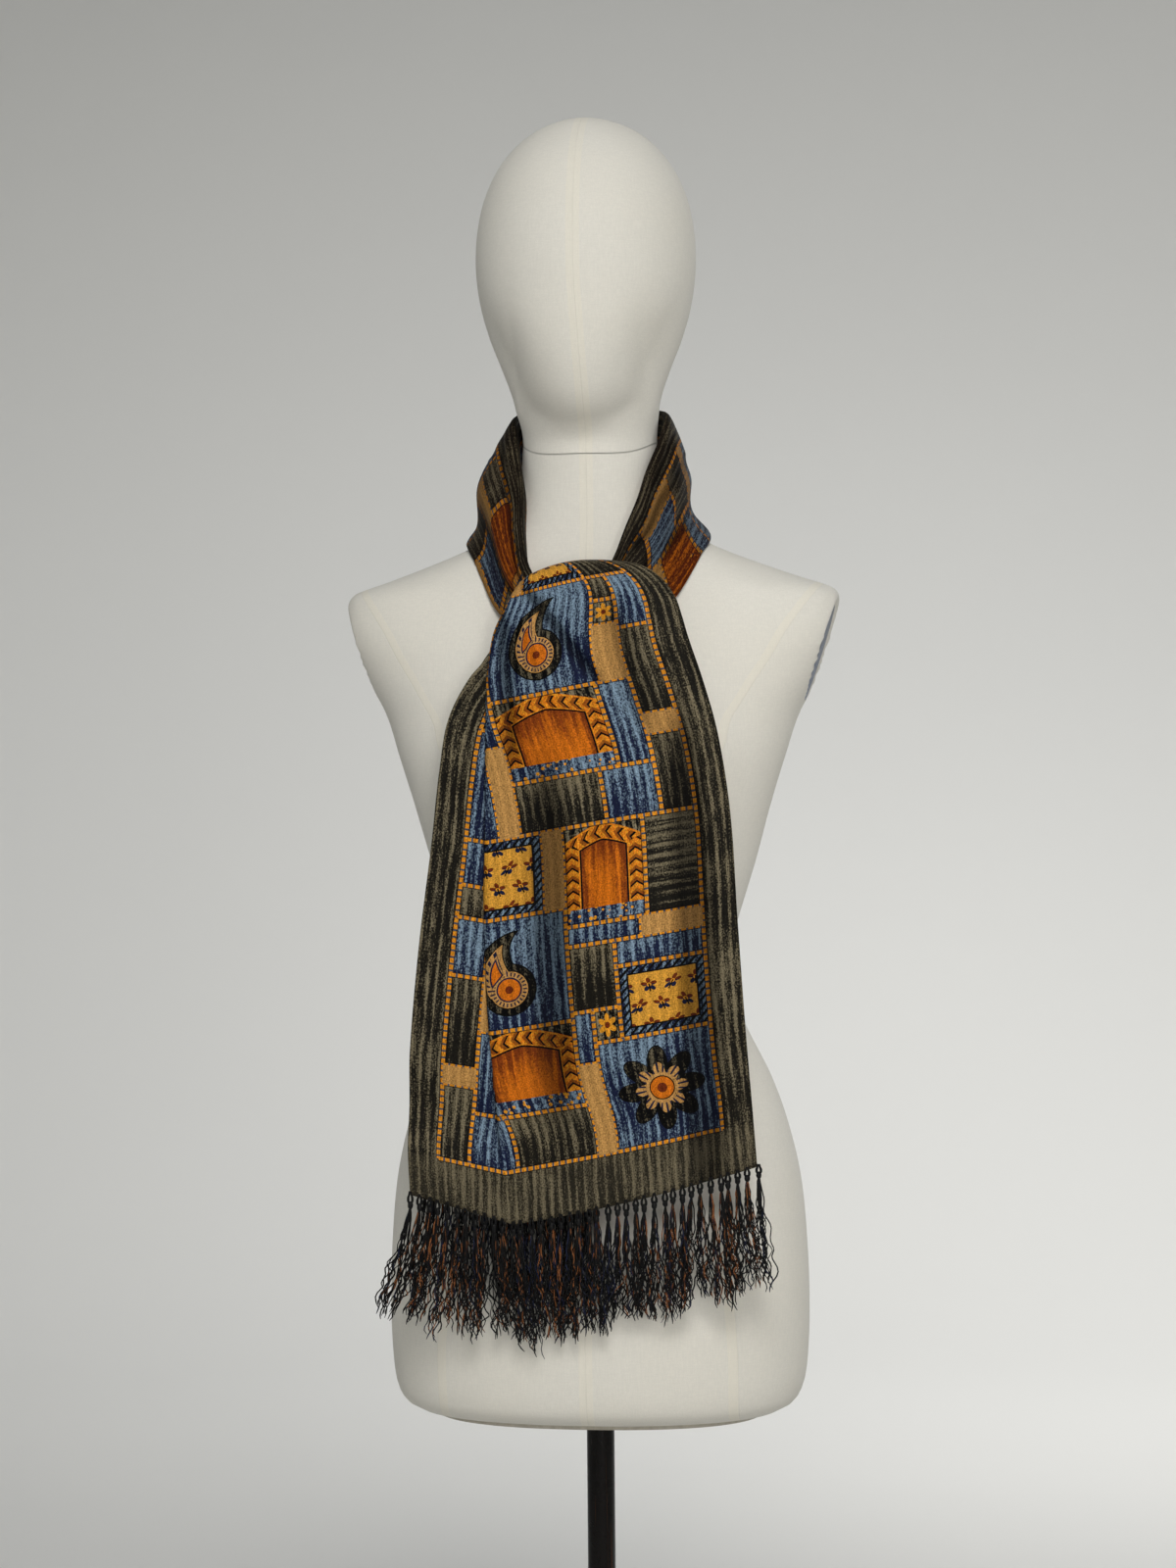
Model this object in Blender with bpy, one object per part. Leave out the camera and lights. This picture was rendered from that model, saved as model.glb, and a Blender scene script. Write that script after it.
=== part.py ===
"""Fringed silk scarf, tied once over, on a limbless dress form with a faceless head.

Metres, +Z up. The form faces -Y. The origin is on the floor, under the middle of the round base.
The scarf is wound round the neck; its front end rolls over the knot and falls down the front.
"""

import math
from collections import namedtuple

import bmesh
import bpy
from mathutils import Vector
from mathutils.bvhtree import BVHTree

# ---- driving sizes -------------------------------------------------------------------------

SEAM_GAP = 0.0003            # between pieces that meet
RING_POINTS = 28             # points round the torso and the neck
HEAD_POINTS = 24

BASE_RADIUS = 0.200
BASE_HEIGHT = 0.011
BASE_EDGE = 0.003            # rounding of the rim
BOSS_RADIUS = 0.024
BOSS_HEIGHT = 0.026
POLE_RADIUS = 0.011
BOARD_HEIGHT = 0.003         # board that closes the underside of the torso
BOARD_INSET = 0.97

ARMHOLE_AT = (0.1895, 1.0774)    # a point (x, z) of the plane that cuts the shoulder end
ARMHOLE_LEAN = math.radians(17.0)
ARMHOLE_FOOT = 0.955         # nothing below this height is cut
PLATE_SHARE = 0.80           # of the width of the shoulder end
PLATE_HEIGHT = 0.0016

NECK_AXIS_Y = -0.012         # the wound stretch is measured from this upright line
SILK = 0.0013                # wall of the scarf's solids
CLEARANCE = 0.0024           # middle of the silk wall to the form, where it rests

PLEAT_TURN = 0.00105         # radius of the long pleat's folds, at the middle of the wall

TASSELS = 38                 # knotted along the front end
LOCKS = 3                    # locks that a tassel of the front end parts into
UNDER_TASSELS = 28           # along the folded hidden end, both layers together
STRIP_HEIGHT = 0.0028        # the narrow strip that the tassels hang from
STRIP_DEPTH = 0.0017
ROOT_SHARE = 0.42            # of the tassels' pitch, taken by a root on the strip
KNOT_DROP = 0.0035           # strip to knot
KNOT_WIDTH = 0.75            # of the root
HEAD_DROP = 0.0090           # strip to the head, where the locks part
HEAD_WIDTH = 1.95            # of the knot, with all its locks
PLAIN_HEAD_WIDTH = 1.20      # of the knot, for a tassel in one piece
FRINGE_LENGTH = 0.086        # below the head
FRINGE_UNEVEN = 0.006        # how much longer or shorter a lock is
LOCK_FALLS = (0.34, 0.70, 1.0)   # shares of its length where a lock bends
LOCK_TAPER = (0.84, 0.94)    # across and deep, at each bend
LOCK_PART = 0.0007           # how far a tassel's outer locks move aside
LOCK_FORWARD = (0.0002, 0.0017)  # even and odd locks, so that neighbours stand apart
SWAY = 0.0011                # of the locks to the side
SWAY_PITCH = 0.55            # radians from one tassel to the next
SWAY_DROP = 4.2              # radians from head to tip

# ---- sections of the form: height, half width, front and back (y), fullness of the outline -----

Section = namedtuple("Section", "height half_width front back fullness")

TORSO = [
    Section(0.4420, 0.1330, -0.0830, 0.0880, 2.30),
    Section(0.4440, 0.1440, -0.0925, 0.0980, 2.30),
    Section(0.4490, 0.1535, -0.1010, 0.1070, 2.30),
    Section(0.4580, 0.1600, -0.1065, 0.1130, 2.30),
    Section(0.4740, 0.1640, -0.1095, 0.1175, 2.30),
    Section(0.5158, 0.1665, -0.1110, 0.1200, 2.30),
    Section(0.5700, 0.1655, -0.1085, 0.1160, 2.25),
    Section(0.6250, 0.1608, -0.1020, 0.1070, 2.20),
    Section(0.6680, 0.1512, -0.0960, 0.0960, 2.20),
    Section(0.7050, 0.1385, -0.0915, 0.0850, 2.15),
    Section(0.7430, 0.1200, -0.0870, 0.0740, 2.10),
    Section(0.7720, 0.1085, -0.0835, 0.0655, 2.10),
    Section(0.8010, 0.1060, -0.0830, 0.0610, 2.10),
    Section(0.8317, 0.1145, -0.0855, 0.0615, 2.15),
    Section(0.8746, 0.1280, -0.0945, 0.0660, 2.20),
    Section(0.9214, 0.1410, -0.1080, 0.0750, 2.25),
    Section(0.9600, 0.1530, -0.1145, 0.0840, 2.25),
    Section(0.9940, 0.1646, -0.1100, 0.0900, 2.25),
    Section(1.0250, 0.1830, -0.1010, 0.0925, 2.25),
    Section(1.0520, 0.1990, -0.0920, 0.0900, 2.25),
    Section(1.0740, 0.2040, -0.0830, 0.0840, 2.20),
    Section(1.0880, 0.1960, -0.0770, 0.0785, 2.20),
    Section(1.1000, 0.1620, -0.0725, 0.0710, 2.20),
    Section(1.1110, 0.1310, -0.0690, 0.0640, 2.20),
    Section(1.1225, 0.1020, -0.0660, 0.0580, 2.15),
    Section(1.1340, 0.0810, -0.0642, 0.0530, 2.10),
    Section(1.1500, 0.0655, -0.0636, 0.0480, 2.05),
    Section(1.1700, 0.0565, -0.0642, 0.0440, 2.00),
    Section(1.1960, 0.0530, -0.0668, 0.0415, 2.00),
]

HEAD = [
    Section(1.1963, 0.0530, -0.0668, 0.0415, 2.00),
    Section(1.2080, 0.0535, -0.0690, 0.0410, 2.00),
    Section(1.2200, 0.0547, -0.0785, 0.0410, 2.00),
    Section(1.2290, 0.0560, -0.0935, 0.0415, 2.00),
    Section(1.2380, 0.0576, -0.1035, 0.0425, 2.00),
    Section(1.2500, 0.0614, -0.1115, 0.0450, 2.00),
    Section(1.2660, 0.0675, -0.1190, 0.0500, 2.00),
    Section(1.2870, 0.0756, -0.1250, 0.0575, 2.00),
    Section(1.3120, 0.0825, -0.1282, 0.0640, 2.00),
    Section(1.3410, 0.0862, -0.1290, 0.0680, 2.00),
    Section(1.3690, 0.0853, -0.1255, 0.0690, 2.00),
    Section(1.3950, 0.0802, -0.1175, 0.0655, 2.00),
    Section(1.4180, 0.0706, -0.1045, 0.0580, 2.00),
    Section(1.4360, 0.0573, -0.0880, 0.0460, 2.00),
    Section(1.4490, 0.0415, -0.0705, 0.0300, 2.00),
    Section(1.4570, 0.0230, -0.0520, 0.0130, 2.00),
    Section(1.4603, 0.0050, -0.0330, -0.0240, 2.00),
]

# ---- the wound stretch: one row for each section, a section being (out from the neck axis, height) ---
# turn is in degrees about the neck: 0 at the nape, negative to the scarf's left in a front view.
# inner to hug is the layer on the neck, crest the standing edge, crease and nip the valleys
# between the lengthwise folds, swell and lower their rounded tops, foot the edge that rests.

Wound = namedtuple("Wound", "turn inner hug crest crease swell nip lower foot")

NECK_LOOP = [
    Wound(-164, (0.0895, 1.064), (0.0885, 1.074), (0.0912, 1.084), (0.0945, 1.0805),
          (0.0970, 1.075), (0.0960, 1.069), (0.0965, 1.062), (0.0945, 1.054)),
    Wound(-152, (0.0865, 1.070), (0.0825, 1.092), (0.0870, 1.109), (0.0925, 1.101),
          (0.0990, 1.085), (0.0970, 1.076), (0.1000, 1.066), (0.0960, 1.055)),
    Wound(-141, (0.0825, 1.091), (0.0710, 1.125), (0.0747, 1.143), (0.0790, 1.133),
          (0.0985, 1.106), (0.0955, 1.092), (0.1010, 1.078), (0.0965, 1.066)),
    Wound(-129, (0.0765, 1.122), (0.0600, 1.155), (0.0640, 1.172), (0.0680, 1.162),
          (0.0895, 1.138), (0.0865, 1.118), (0.0965, 1.102), (0.0925, 1.098)),
    Wound(-110, (0.0765, 1.138), (0.0570, 1.180), (0.0595, 1.203), (0.0650, 1.196),
          (0.0890, 1.168), (0.0865, 1.146), (0.0960, 1.130), (0.0925, 1.1245)),
    Wound(-90, (0.0765, 1.144), (0.0565, 1.190), (0.0605, 1.226), (0.0665, 1.219),
          (0.0905, 1.176), (0.0875, 1.152), (0.0985, 1.138), (0.0920, 1.1325)),
    Wound(-60, (0.0765, 1.142), (0.0570, 1.190), (0.0620, 1.234), (0.0685, 1.227),
          (0.0910, 1.186), (0.0885, 1.160), (0.0985, 1.140), (0.0930, 1.1290)),
    Wound(-30, (0.0780, 1.130), (0.0580, 1.190), (0.0640, 1.238), (0.0710, 1.231),
          (0.0920, 1.190), (0.0900, 1.162), (0.0985, 1.136), (0.0940, 1.114)),
    Wound(0, (0.0780, 1.125), (0.0590, 1.190), (0.0650, 1.240), (0.0725, 1.233),
          (0.0920, 1.192), (0.0905, 1.162), (0.0980, 1.132), (0.0930, 1.106)),
    Wound(30, (0.0780, 1.130), (0.0580, 1.190), (0.0640, 1.238), (0.0705, 1.231),
          (0.0890, 1.190), (0.0870, 1.158), (0.0970, 1.134), (0.0930, 1.114)),
    Wound(60, (0.0765, 1.142), (0.0570, 1.190), (0.0620, 1.234), (0.0680, 1.227),
          (0.0840, 1.186), (0.0815, 1.156), (0.0960, 1.138), (0.0920, 1.1290)),
    Wound(90, (0.0765, 1.144), (0.0565, 1.190), (0.0600, 1.225), (0.0655, 1.217),
          (0.0795, 1.176), (0.0790, 1.156), (0.0950, 1.138), (0.0905, 1.1335)),
    Wound(110, (0.0765, 1.138), (0.0570, 1.180), (0.0590, 1.203), (0.0640, 1.196),
          (0.0785, 1.170), (0.0790, 1.150), (0.0975, 1.127), (0.0925, 1.1240)),
    Wound(128, (0.0765, 1.123), (0.0590, 1.160), (0.0620, 1.182), (0.0665, 1.173),
          (0.0825, 1.148), (0.0830, 1.128), (0.1005, 1.099), (0.0945, 1.0970)),
    Wound(141, (0.0815, 1.093), (0.0650, 1.137), (0.0680, 1.158), (0.0740, 1.147),
          (0.0920, 1.121), (0.0915, 1.102), (0.1040, 1.079), (0.0985, 1.067)),
    Wound(152, (0.0850, 1.072), (0.0700, 1.114), (0.0730, 1.134), (0.0790, 1.124),
          (0.0950, 1.102), (0.0945, 1.090), (0.0990, 1.073), (0.0960, 1.060)),
    Wound(161, (0.0870, 1.066), (0.0770, 1.094), (0.0790, 1.109), (0.0840, 1.102),
          (0.0930, 1.091), (0.0920, 1.081), (0.0950, 1.068), (0.0930, 1.056)),
    Wound(172, (0.0875, 1.066), (0.0865, 1.078), (0.0882, 1.089), (0.0915, 1.085),
          (0.0932, 1.080), (0.0926, 1.074), (0.0938, 1.067), (0.0922, 1.057)),
    Wound(186, (0.0875, 1.066), (0.0868, 1.077), (0.0882, 1.087), (0.0915, 1.084),
          (0.0930, 1.079), (0.0924, 1.073), (0.0936, 1.067), (0.0920, 1.057)),
]
LOOP_STATIONS = 44
LOOP_SPAN_STEPS = (4, 4, 3, 3, 2, 2, 2)  # steps from each point of a section to the next

# ---- the front fall: one row for each section across it -------------------------------------
# down is the way along the cloth from the top of its roll. fold is the left fold of the front
# panel, middle and right are further points of that panel; tuck is how far the pleat runs back
# under it, and left is the left edge of the cloth, (x, how much higher than the fold).

Fall = namedtuple("Fall", "down fold middle right tuck left")

FRONT_FALL = [
    Fall(-0.044, (-0.028, -0.0905, 1.066), (-0.010, -0.0905, 1.068), (0.006, -0.0900, 1.069),
         0.014, (-0.024, 0.0)),
    Fall(-0.028, (-0.028, -0.0870, 1.080), (-0.010, -0.0865, 1.083), (0.006, -0.0865, 1.083),
         0.016, (-0.024, 0.0)),
    Fall(-0.013, (-0.028, -0.0885, 1.0935), (-0.009, -0.0860, 1.0985), (0.007, -0.0860, 1.0980),
         0.018, (-0.024, 0.0)),
    Fall(0.000, (-0.030, -0.0980, 1.1000), (-0.008, -0.0950, 1.1065), (0.012, -0.0945, 1.1060),
         0.026, (-0.028, 0.0)),
    Fall(0.012, (-0.040, -0.1085, 1.0945), (-0.006, -0.1070, 1.1055), (0.030, -0.1040, 1.1070),
         0.036, (-0.032, 0.0)),
    Fall(0.026, (-0.047, -0.1145, 1.0840), (0.000, -0.1170, 1.0960), (0.050, -0.1095, 1.1030),
         0.046, (-0.034, 0.0)),
    Fall(0.042, (-0.053, -0.1170, 1.0710), (0.006, -0.1215, 1.0830), (0.066, -0.1125, 1.0925),
         0.054, (-0.038, 0.0)),
    Fall(0.057, (-0.060, -0.1185, 1.0570), (0.009, -0.1230, 1.0690), (0.0760, -0.1150, 1.0790),
         0.060, (-0.048, 0.0)),
    Fall(0.072, (-0.0635, -0.1200, 1.0420), (0.010, -0.1245, 1.0550), (0.0805, -0.1165, 1.0670),
         0.060, (-0.062, 0.0)),
    Fall(0.095, (-0.0662, -0.1225, 1.0190), (0.012, -0.1265, 1.0330), (0.0865, -0.1190, 1.0470),
         0.056, (-0.079, 0.004)),
    Fall(0.130, (-0.0672, -0.1255, 0.9840), (0.014, -0.1288, 0.9990), (0.0975, -0.1205, 1.0140),
         0.045, (-0.0970, 0.006)),
    Fall(0.170, (-0.0678, -0.1265, 0.9440), (0.018, -0.1295, 0.9590), (0.1085, -0.1225, 0.9740),
         0.034, (-0.1045, 0.007)),
    Fall(0.230, (-0.0690, -0.1265, 0.8840), (0.020, -0.1290, 0.8990), (0.1175, -0.1235, 0.9140),
         0.026, (-0.1115, 0.008)),
    Fall(0.310, (-0.0692, -0.1265, 0.8040), (0.024, -0.1285, 0.8190), (0.1222, -0.1240, 0.8350),
         0.020, (-0.1220, 0.009)),
    Fall(0.390, (-0.0645, -0.1265, 0.7240), (0.028, -0.1280, 0.7390), (0.1272, -0.1240, 0.7570),
         0.012, (-0.1296, 0.010)),
    Fall(0.450, (-0.0588, -0.1265, 0.6640), (0.032, -0.1275, 0.6800), (0.1315, -0.1240, 0.7010),
         0.005, (-0.1313, 0.013)),
    Fall(0.478, (-0.0548, -0.1265, 0.6350), (0.036, -0.1275, 0.6530), (0.1335, -0.1240, 0.6750),
         0.001, (-0.1308, 0.017)),
    Fall(0.511, (-0.0500, -0.1265, 0.6030), (0.040, -0.1275, 0.6210), (0.1355, -0.1240, 0.6475),
         0.000, (-0.1295, 0.022)),
]
FALL_ROWS_TOP = 14           # rows over the roll
FALL_ROLL_END = 0.072
FALL_ROWS_BELOW = 17
LEFT_STEPS = 6
TUCK_STEPS = 2
TURN_STEPS = 3
PANEL_STEPS = 14
PLEAT_OPEN = 0.012           # the pleat turns fully over while it is deeper than this
TUCK_LEAST = 0.0012
PLEAT_TURN_LEAST = 1.6        # radians; below this the fold's points stay as far apart

# Soft lengthwise creases of the front panel: where each starts and ends (x, height), how wide
# and how proud it is (a trough is negative).
Crease = namedtuple("Crease", "top foot width proud")

CREASES = [
    Crease((-0.040, 1.070), (0.000, 0.990), 0.011, 0.0030),
    Crease((0.030, 0.960), (0.038, 0.680), 0.020, 0.0022),
    Crease((0.082, 0.940), (0.092, 0.660), 0.016, -0.0026),
    Crease((-0.022, 0.930), (-0.016, 0.700), 0.016, -0.0022),
]

# ---- the hidden end: folded in half lengthwise behind the front fall --------------------------

Under = namedtuple("Under", "height left right depth lift")

UNDER_FALL = [
    Under(1.052, -0.030, 0.022, -0.1010, 0.000),
    Under(1.035, -0.036, 0.026, -0.1045, 0.001),
    Under(1.010, -0.046, 0.025, -0.1105, 0.003),
    Under(0.985, -0.056, 0.022, -0.1160, 0.004),
    Under(0.945, -0.074, 0.018, -0.1188, 0.006),
    Under(0.880, -0.090, 0.014, -0.1188, 0.007),
    Under(0.780, -0.104, 0.012, -0.1165, 0.008),
    Under(0.690, -0.114, 0.012, -0.1148, 0.010),
    Under(0.628, -0.120, 0.012, -0.1145, 0.014),
]
UNDER_ROWS = 13
UNDER_STEPS = 5              # steps across each of its two layers
UNDER_TURN = 0.0010

# ---- finishes: base colour, roughness, metallic ------------------------------------------------

Finish = namedtuple("Finish", "name colour roughness metallic")

LINEN = Finish("linen", (0.80, 0.77, 0.69), 0.85, 0.0)
CHROME = Finish("chrome", (0.80, 0.80, 0.82), 0.15, 1.0)
DARK_METAL = Finish("dark metal", (0.020, 0.014, 0.012), 0.25, 0.4)
BOARD = Finish("board", (0.62, 0.60, 0.55), 0.70, 0.0)
PRINTED_SILK = Finish("printed silk", (0.16, 0.13, 0.08), 0.55, 0.0)
THREAD = Finish("fringe thread", (0.035, 0.030, 0.028), 0.60, 0.0)

FRONT_HEM_AT = (0.0, -0.1265, 0.603)     # where the front fringe is placed from
UNDER_HEM_AT = (0.0, -0.1145, 0.628)


# ---- helpers ---------------------------------------------------------------------------------

def clear_scene():
    for item in list(bpy.data.objects):
        bpy.data.objects.remove(item)


def make_material(name, finish):
    material = bpy.data.materials.new(name)
    material.use_nodes = True
    shader = material.node_tree.nodes["Principled BSDF"]
    shader.inputs["Base Color"].default_value = (*finish.colour, 1.0)
    shader.inputs["Roughness"].default_value = finish.roughness
    shader.inputs["Metallic"].default_value = finish.metallic
    material.diffuse_color = (*finish.colour, 1.0)
    return material


def make_object(name, bm, finish, parent, at=(0.0, 0.0, 0.0), sharp_angle=40.0):
    """Store a bmesh as one named object with its own material, shaded smooth and parented."""
    at = Vector(at)
    bmesh.ops.translate(bm, verts=bm.verts[:], vec=-at)
    mesh = bpy.data.meshes.new(name)
    bm.normal_update()
    bm.to_mesh(mesh)
    bm.free()
    mesh.materials.append(make_material(f"{name} {finish.name}", finish))
    mesh.shade_smooth()
    mesh.set_sharp_from_angle(angle=math.radians(sharp_angle))
    item = bpy.data.objects.new(name, mesh)
    bpy.context.collection.objects.link(item)
    item.location = at
    item.parent = parent
    return item


def make_group(name):
    group = bpy.data.objects.new(name, None)
    bpy.context.collection.objects.link(group)
    return group


def as_vector(value):
    """A number or a short tuple as a vector, so that both blend in the same way."""
    if isinstance(value, (int, float)):
        return Vector((value, 0.0))
    return Vector(value)


def blend_rows(rows, column, at):
    """The smooth value of a table's column at a place along its first column."""
    keys = [row[0] for row in rows]
    values = [as_vector(getattr(row, column)) for row in rows]
    at = min(max(at, keys[0]), keys[-1])
    index = max(i for i in range(len(keys) - 1) if keys[i] <= at)
    span = keys[index + 1] - keys[index]
    share = (at - keys[index]) / span

    def slope(i):
        low, high = max(i - 1, 0), min(i + 1, len(keys) - 1)
        return (values[high] - values[low]) / (keys[high] - keys[low])

    square, cube = share * share, share * share * share
    return (values[index] * (2 * cube - 3 * square + 1)
            + slope(index) * span * (cube - 2 * square + share)
            + values[index + 1] * (3 * square - 2 * cube)
            + slope(index + 1) * span * (cube - square))


Stop = namedtuple("Stop", "reach place")


def curve_point(points, span, share):
    """A point of the smooth curve through a few points, a share of the way along one span."""
    reach = [0.0]
    for first, second in zip(points, points[1:]):
        reach.append(reach[-1] + (second - first).length)
    rows = [Stop(*pair) for pair in zip(reach, points)]
    return blend_rows(rows, "place", reach[span] + (reach[span + 1] - reach[span]) * share)


def smooth_step(low, high, value):
    """Rises smoothly from 0 at low to 1 at high; low may be the larger of the two."""
    share = min(max((value - low) / (high - low), 0.0), 1.0)
    return share * share * (3.0 - 2.0 * share)


def cloth_wall(name, place, columns, rows, parent, at):
    """A grid set out by place(column, row), given the thickness of the silk on both sides."""
    bm = bmesh.new()
    bmesh.ops.create_grid(bm, x_segments=columns, y_segments=rows, size=0.5)
    for vert in bm.verts:
        column = round((vert.co.x + 0.5) * columns)
        row = round((vert.co.y + 0.5) * rows)
        vert.co = place(column, row)
    item = make_object(name, bm, PRINTED_SILK, parent, at)
    wall = item.modifiers.new("Wall", "SOLIDIFY")
    wall.thickness = SILK
    wall.offset = 0.0
    wall.use_even_offset = True
    wall.use_quality_normals = True


# ---- the dress form ----------------------------------------------------------------------------

def section_ring(section, count):
    middle = (section.front + section.back) / 2.0
    half_depth = (section.back - section.front) / 2.0
    power = 2.0 / section.fullness
    points = []
    for step in range(count):
        angle = 2.0 * math.pi * step / count
        across, along = math.cos(angle), math.sin(angle)
        points.append(Vector((
            math.copysign(abs(across) ** power, across) * section.half_width,
            math.copysign(abs(along) ** power, along) * half_depth + middle,
            section.height,
        )))
    return points


def lofted(sections, count):
    """A closed skin through the sections, one ring for each."""
    bm = bmesh.new()
    rings = [[bm.verts.new(p) for p in section_ring(s, count)] for s in sections]
    for lower, upper in zip(rings, rings[1:]):
        for step in range(count):
            after = (step + 1) % count
            bm.faces.new((lower[step], lower[after], upper[after], upper[step]))
    bm.faces.new(list(reversed(rings[0])))
    bm.faces.new(rings[-1])
    return bm


def armhole_plane(side):
    point = Vector((side * ARMHOLE_AT[0], 0.0, ARMHOLE_AT[1]))
    normal = Vector((side * math.cos(ARMHOLE_LEAN), 0.0, -math.sin(ARMHOLE_LEAN)))
    return point, normal


def cut_armhole(bm, side):
    """Cut the shoulder end flat and return the outline of the cut."""
    point, normal = armhole_plane(side)
    high = [f for f in bm.faces if min(v.co.z for v in f.verts) > ARMHOLE_FOOT]
    geometry = {g for f in high for g in [f, *f.edges, *f.verts]}
    cut = bmesh.ops.bisect_plane(bm, geom=list(geometry), dist=1e-6,
                                 plane_co=point, plane_no=normal, clear_outer=True)
    edges = [e for e in cut["geom_cut"] if isinstance(e, bmesh.types.BMEdge)]
    face = bmesh.ops.edgeloop_fill(bm, edges=edges)["faces"][0]
    if face.normal.dot(normal) < 0.0:
        face.normal_flip()
    return [v.co.copy() for v in face.verts]


def build_torso(parent):
    bm = lofted(TORSO, RING_POINTS)
    outlines = {side: cut_armhole(bm, side) for side in (-1, 1)}
    at = (0.0, 0.0, TORSO[0].height)
    return make_object("form_torso", bm, LINEN, parent, at), outlines


def build_head(parent):
    at = (0.0, 0.0, HEAD[0].height)
    return make_object("form_head", lofted(HEAD, HEAD_POINTS), LINEN, parent, at)


def build_armhole_plate(name, outline, side, parent):
    """An oval plate that follows the shoulder end, a seam's gap off it."""
    normal = armhole_plane(side)[1]
    middle = sum(outline, Vector()) / len(outline)
    bm = bmesh.new()
    foot = [bm.verts.new(middle + (p - middle) * PLATE_SHARE + normal * SEAM_GAP) for p in outline]
    face = bm.faces.new(foot)
    if face.normal.dot(normal) > 0.0:
        face.normal_flip()
    raised = bmesh.ops.extrude_face_region(bm, geom=[face])["geom"]
    top = [v for v in raised if isinstance(v, bmesh.types.BMVert)]
    bmesh.ops.translate(bm, verts=top, vec=normal * PLATE_HEIGHT)
    bmesh.ops.recalc_face_normals(bm, faces=bm.faces[:])
    make_object(name, bm, CHROME, parent, middle)


def turned(profile, steps):
    """A closed turned body from a profile of (radius, height), bottom to top."""
    bm = bmesh.new()
    verts = [bm.verts.new((radius, 0.0, height)) for radius, height in profile]
    edges = [bm.edges.new(pair) for pair in zip(verts, verts[1:])]
    bmesh.ops.spin(bm, geom=verts + edges, cent=(0, 0, 0), axis=(0, 0, 1),
                   angle=2.0 * math.pi, steps=steps, use_merge=True)
    bmesh.ops.remove_doubles(bm, verts=bm.verts[:], dist=1e-6)
    bmesh.ops.recalc_face_normals(bm, faces=bm.faces[:])
    return bm


def build_stand(parent):
    torso_foot = TORSO[0].height
    board_top = torso_foot - SEAM_GAP
    board_foot = board_top - BOARD_HEIGHT
    outline = TORSO[0]
    rings = [
        Section(height, outline.half_width * BOARD_INSET, outline.front * BOARD_INSET,
                outline.back * BOARD_INSET, outline.fullness)
        for height in (board_foot, board_top)
    ]
    make_object("form_board", lofted(rings, RING_POINTS), BOARD, parent, (0.0, 0.0, board_foot))

    pole_foot = BOSS_HEIGHT + SEAM_GAP
    pole_top = board_foot - SEAM_GAP
    pole = turned([(0.0, pole_foot), (POLE_RADIUS, pole_foot), (POLE_RADIUS, pole_top),
                   (0.0, pole_top)], 24)
    make_object("stand_pole", pole, DARK_METAL, parent, (0.0, 0.0, pole_foot))

    base = turned([
        (0.0, 0.0),
        (BASE_RADIUS - BASE_EDGE / 2.0, 0.0),
        (BASE_RADIUS, BASE_EDGE / 2.0),
        (BASE_RADIUS, BASE_HEIGHT - BASE_EDGE),
        (BASE_RADIUS - BASE_EDGE, BASE_HEIGHT),
        (BOSS_RADIUS + 0.004, BASE_HEIGHT + 0.001),
        (BOSS_RADIUS, BASE_HEIGHT + 0.005),
        (BOSS_RADIUS - 0.001, BOSS_HEIGHT - 0.002),
        (BOSS_RADIUS - 0.003, BOSS_HEIGHT),
        (0.0, BOSS_HEIGHT),
    ], 48)
    make_object("stand_base", base, DARK_METAL, parent)


# ---- the scarf ----------------------------------------------------------------------------------

def form_trees(*items):
    return [BVHTree.FromPolygons([v.co + item.location for v in item.data.vertices],
                                 [p.vertices[:] for p in item.data.polygons]) for item in items]


def held_clear(point, trees, gap=CLEARANCE):
    """The point, moved out of the form's skin where it would be nearer than the gap."""
    for tree in trees:
        skin, normal, _, _ = tree.find_nearest(point)
        away = point - skin
        if away.dot(normal) < 0.0:
            point = skin + normal * gap
        elif away.length < gap:
            point = skin + away.normalized() * gap
    return point


def loop_point(turn, span, share):
    """A point of the wound stretch, in one span of its section, counted from inner to foot."""
    names = Wound._fields[1:]
    section = curve_point([blend_rows(NECK_LOOP, name, turn) for name in names], span, share)
    angle = math.radians(turn)
    return Vector((
        section.x * math.sin(angle),
        NECK_AXIS_Y + section.x * math.cos(angle),
        section.y,
    ))


def build_neck_loop(parent, trees):
    start, end = NECK_LOOP[0].turn, NECK_LOOP[-1].turn
    across = [(span, step / steps)
              for span, steps in enumerate(LOOP_SPAN_STEPS) for step in range(steps)]
    across.append((len(LOOP_SPAN_STEPS) - 1, 1.0))

    def place(column, row):
        turn = start + (end - start) * row / LOOP_STATIONS
        return held_clear(loop_point(turn, *across[column]), trees)

    cloth_wall("scarf_neck_loop", place, len(across) - 1, LOOP_STATIONS, parent,
               (0.0, NECK_AXIS_Y, NECK_LOOP[0].foot[1]))


def crease_lift(x, height):
    """How proud the soft creases make the front panel at a place."""
    lift = 0.0
    for crease in CREASES:
        (top_x, top_z), (foot_x, foot_z) = crease.top, crease.foot
        share = (top_z - height) / (top_z - foot_z)
        if -0.25 < share < 1.25:
            centre = top_x + (foot_x - top_x) * share
            fade = smooth_step(-0.25, 0.15, share) * (1.0 - smooth_step(0.85, 1.25, share))
            lift += crease.proud * fade * math.exp(-(((x - centre) / crease.width) ** 2))
    return lift


def panel_point(down, share):
    """A point of the front panel: share runs from its fold to the right edge of the cloth."""
    fold = blend_rows(FRONT_FALL, "fold", down)
    middle = blend_rows(FRONT_FALL, "middle", down)
    right = blend_rows(FRONT_FALL, "right", down)
    bow = middle - (fold + right) / 2.0
    point = fold.lerp(right, share) + bow * (4.0 * share * (1.0 - share))
    point.y -= crease_lift(point.x, point.z) * smooth_step(0.03, 0.07, down)
    return point


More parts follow.
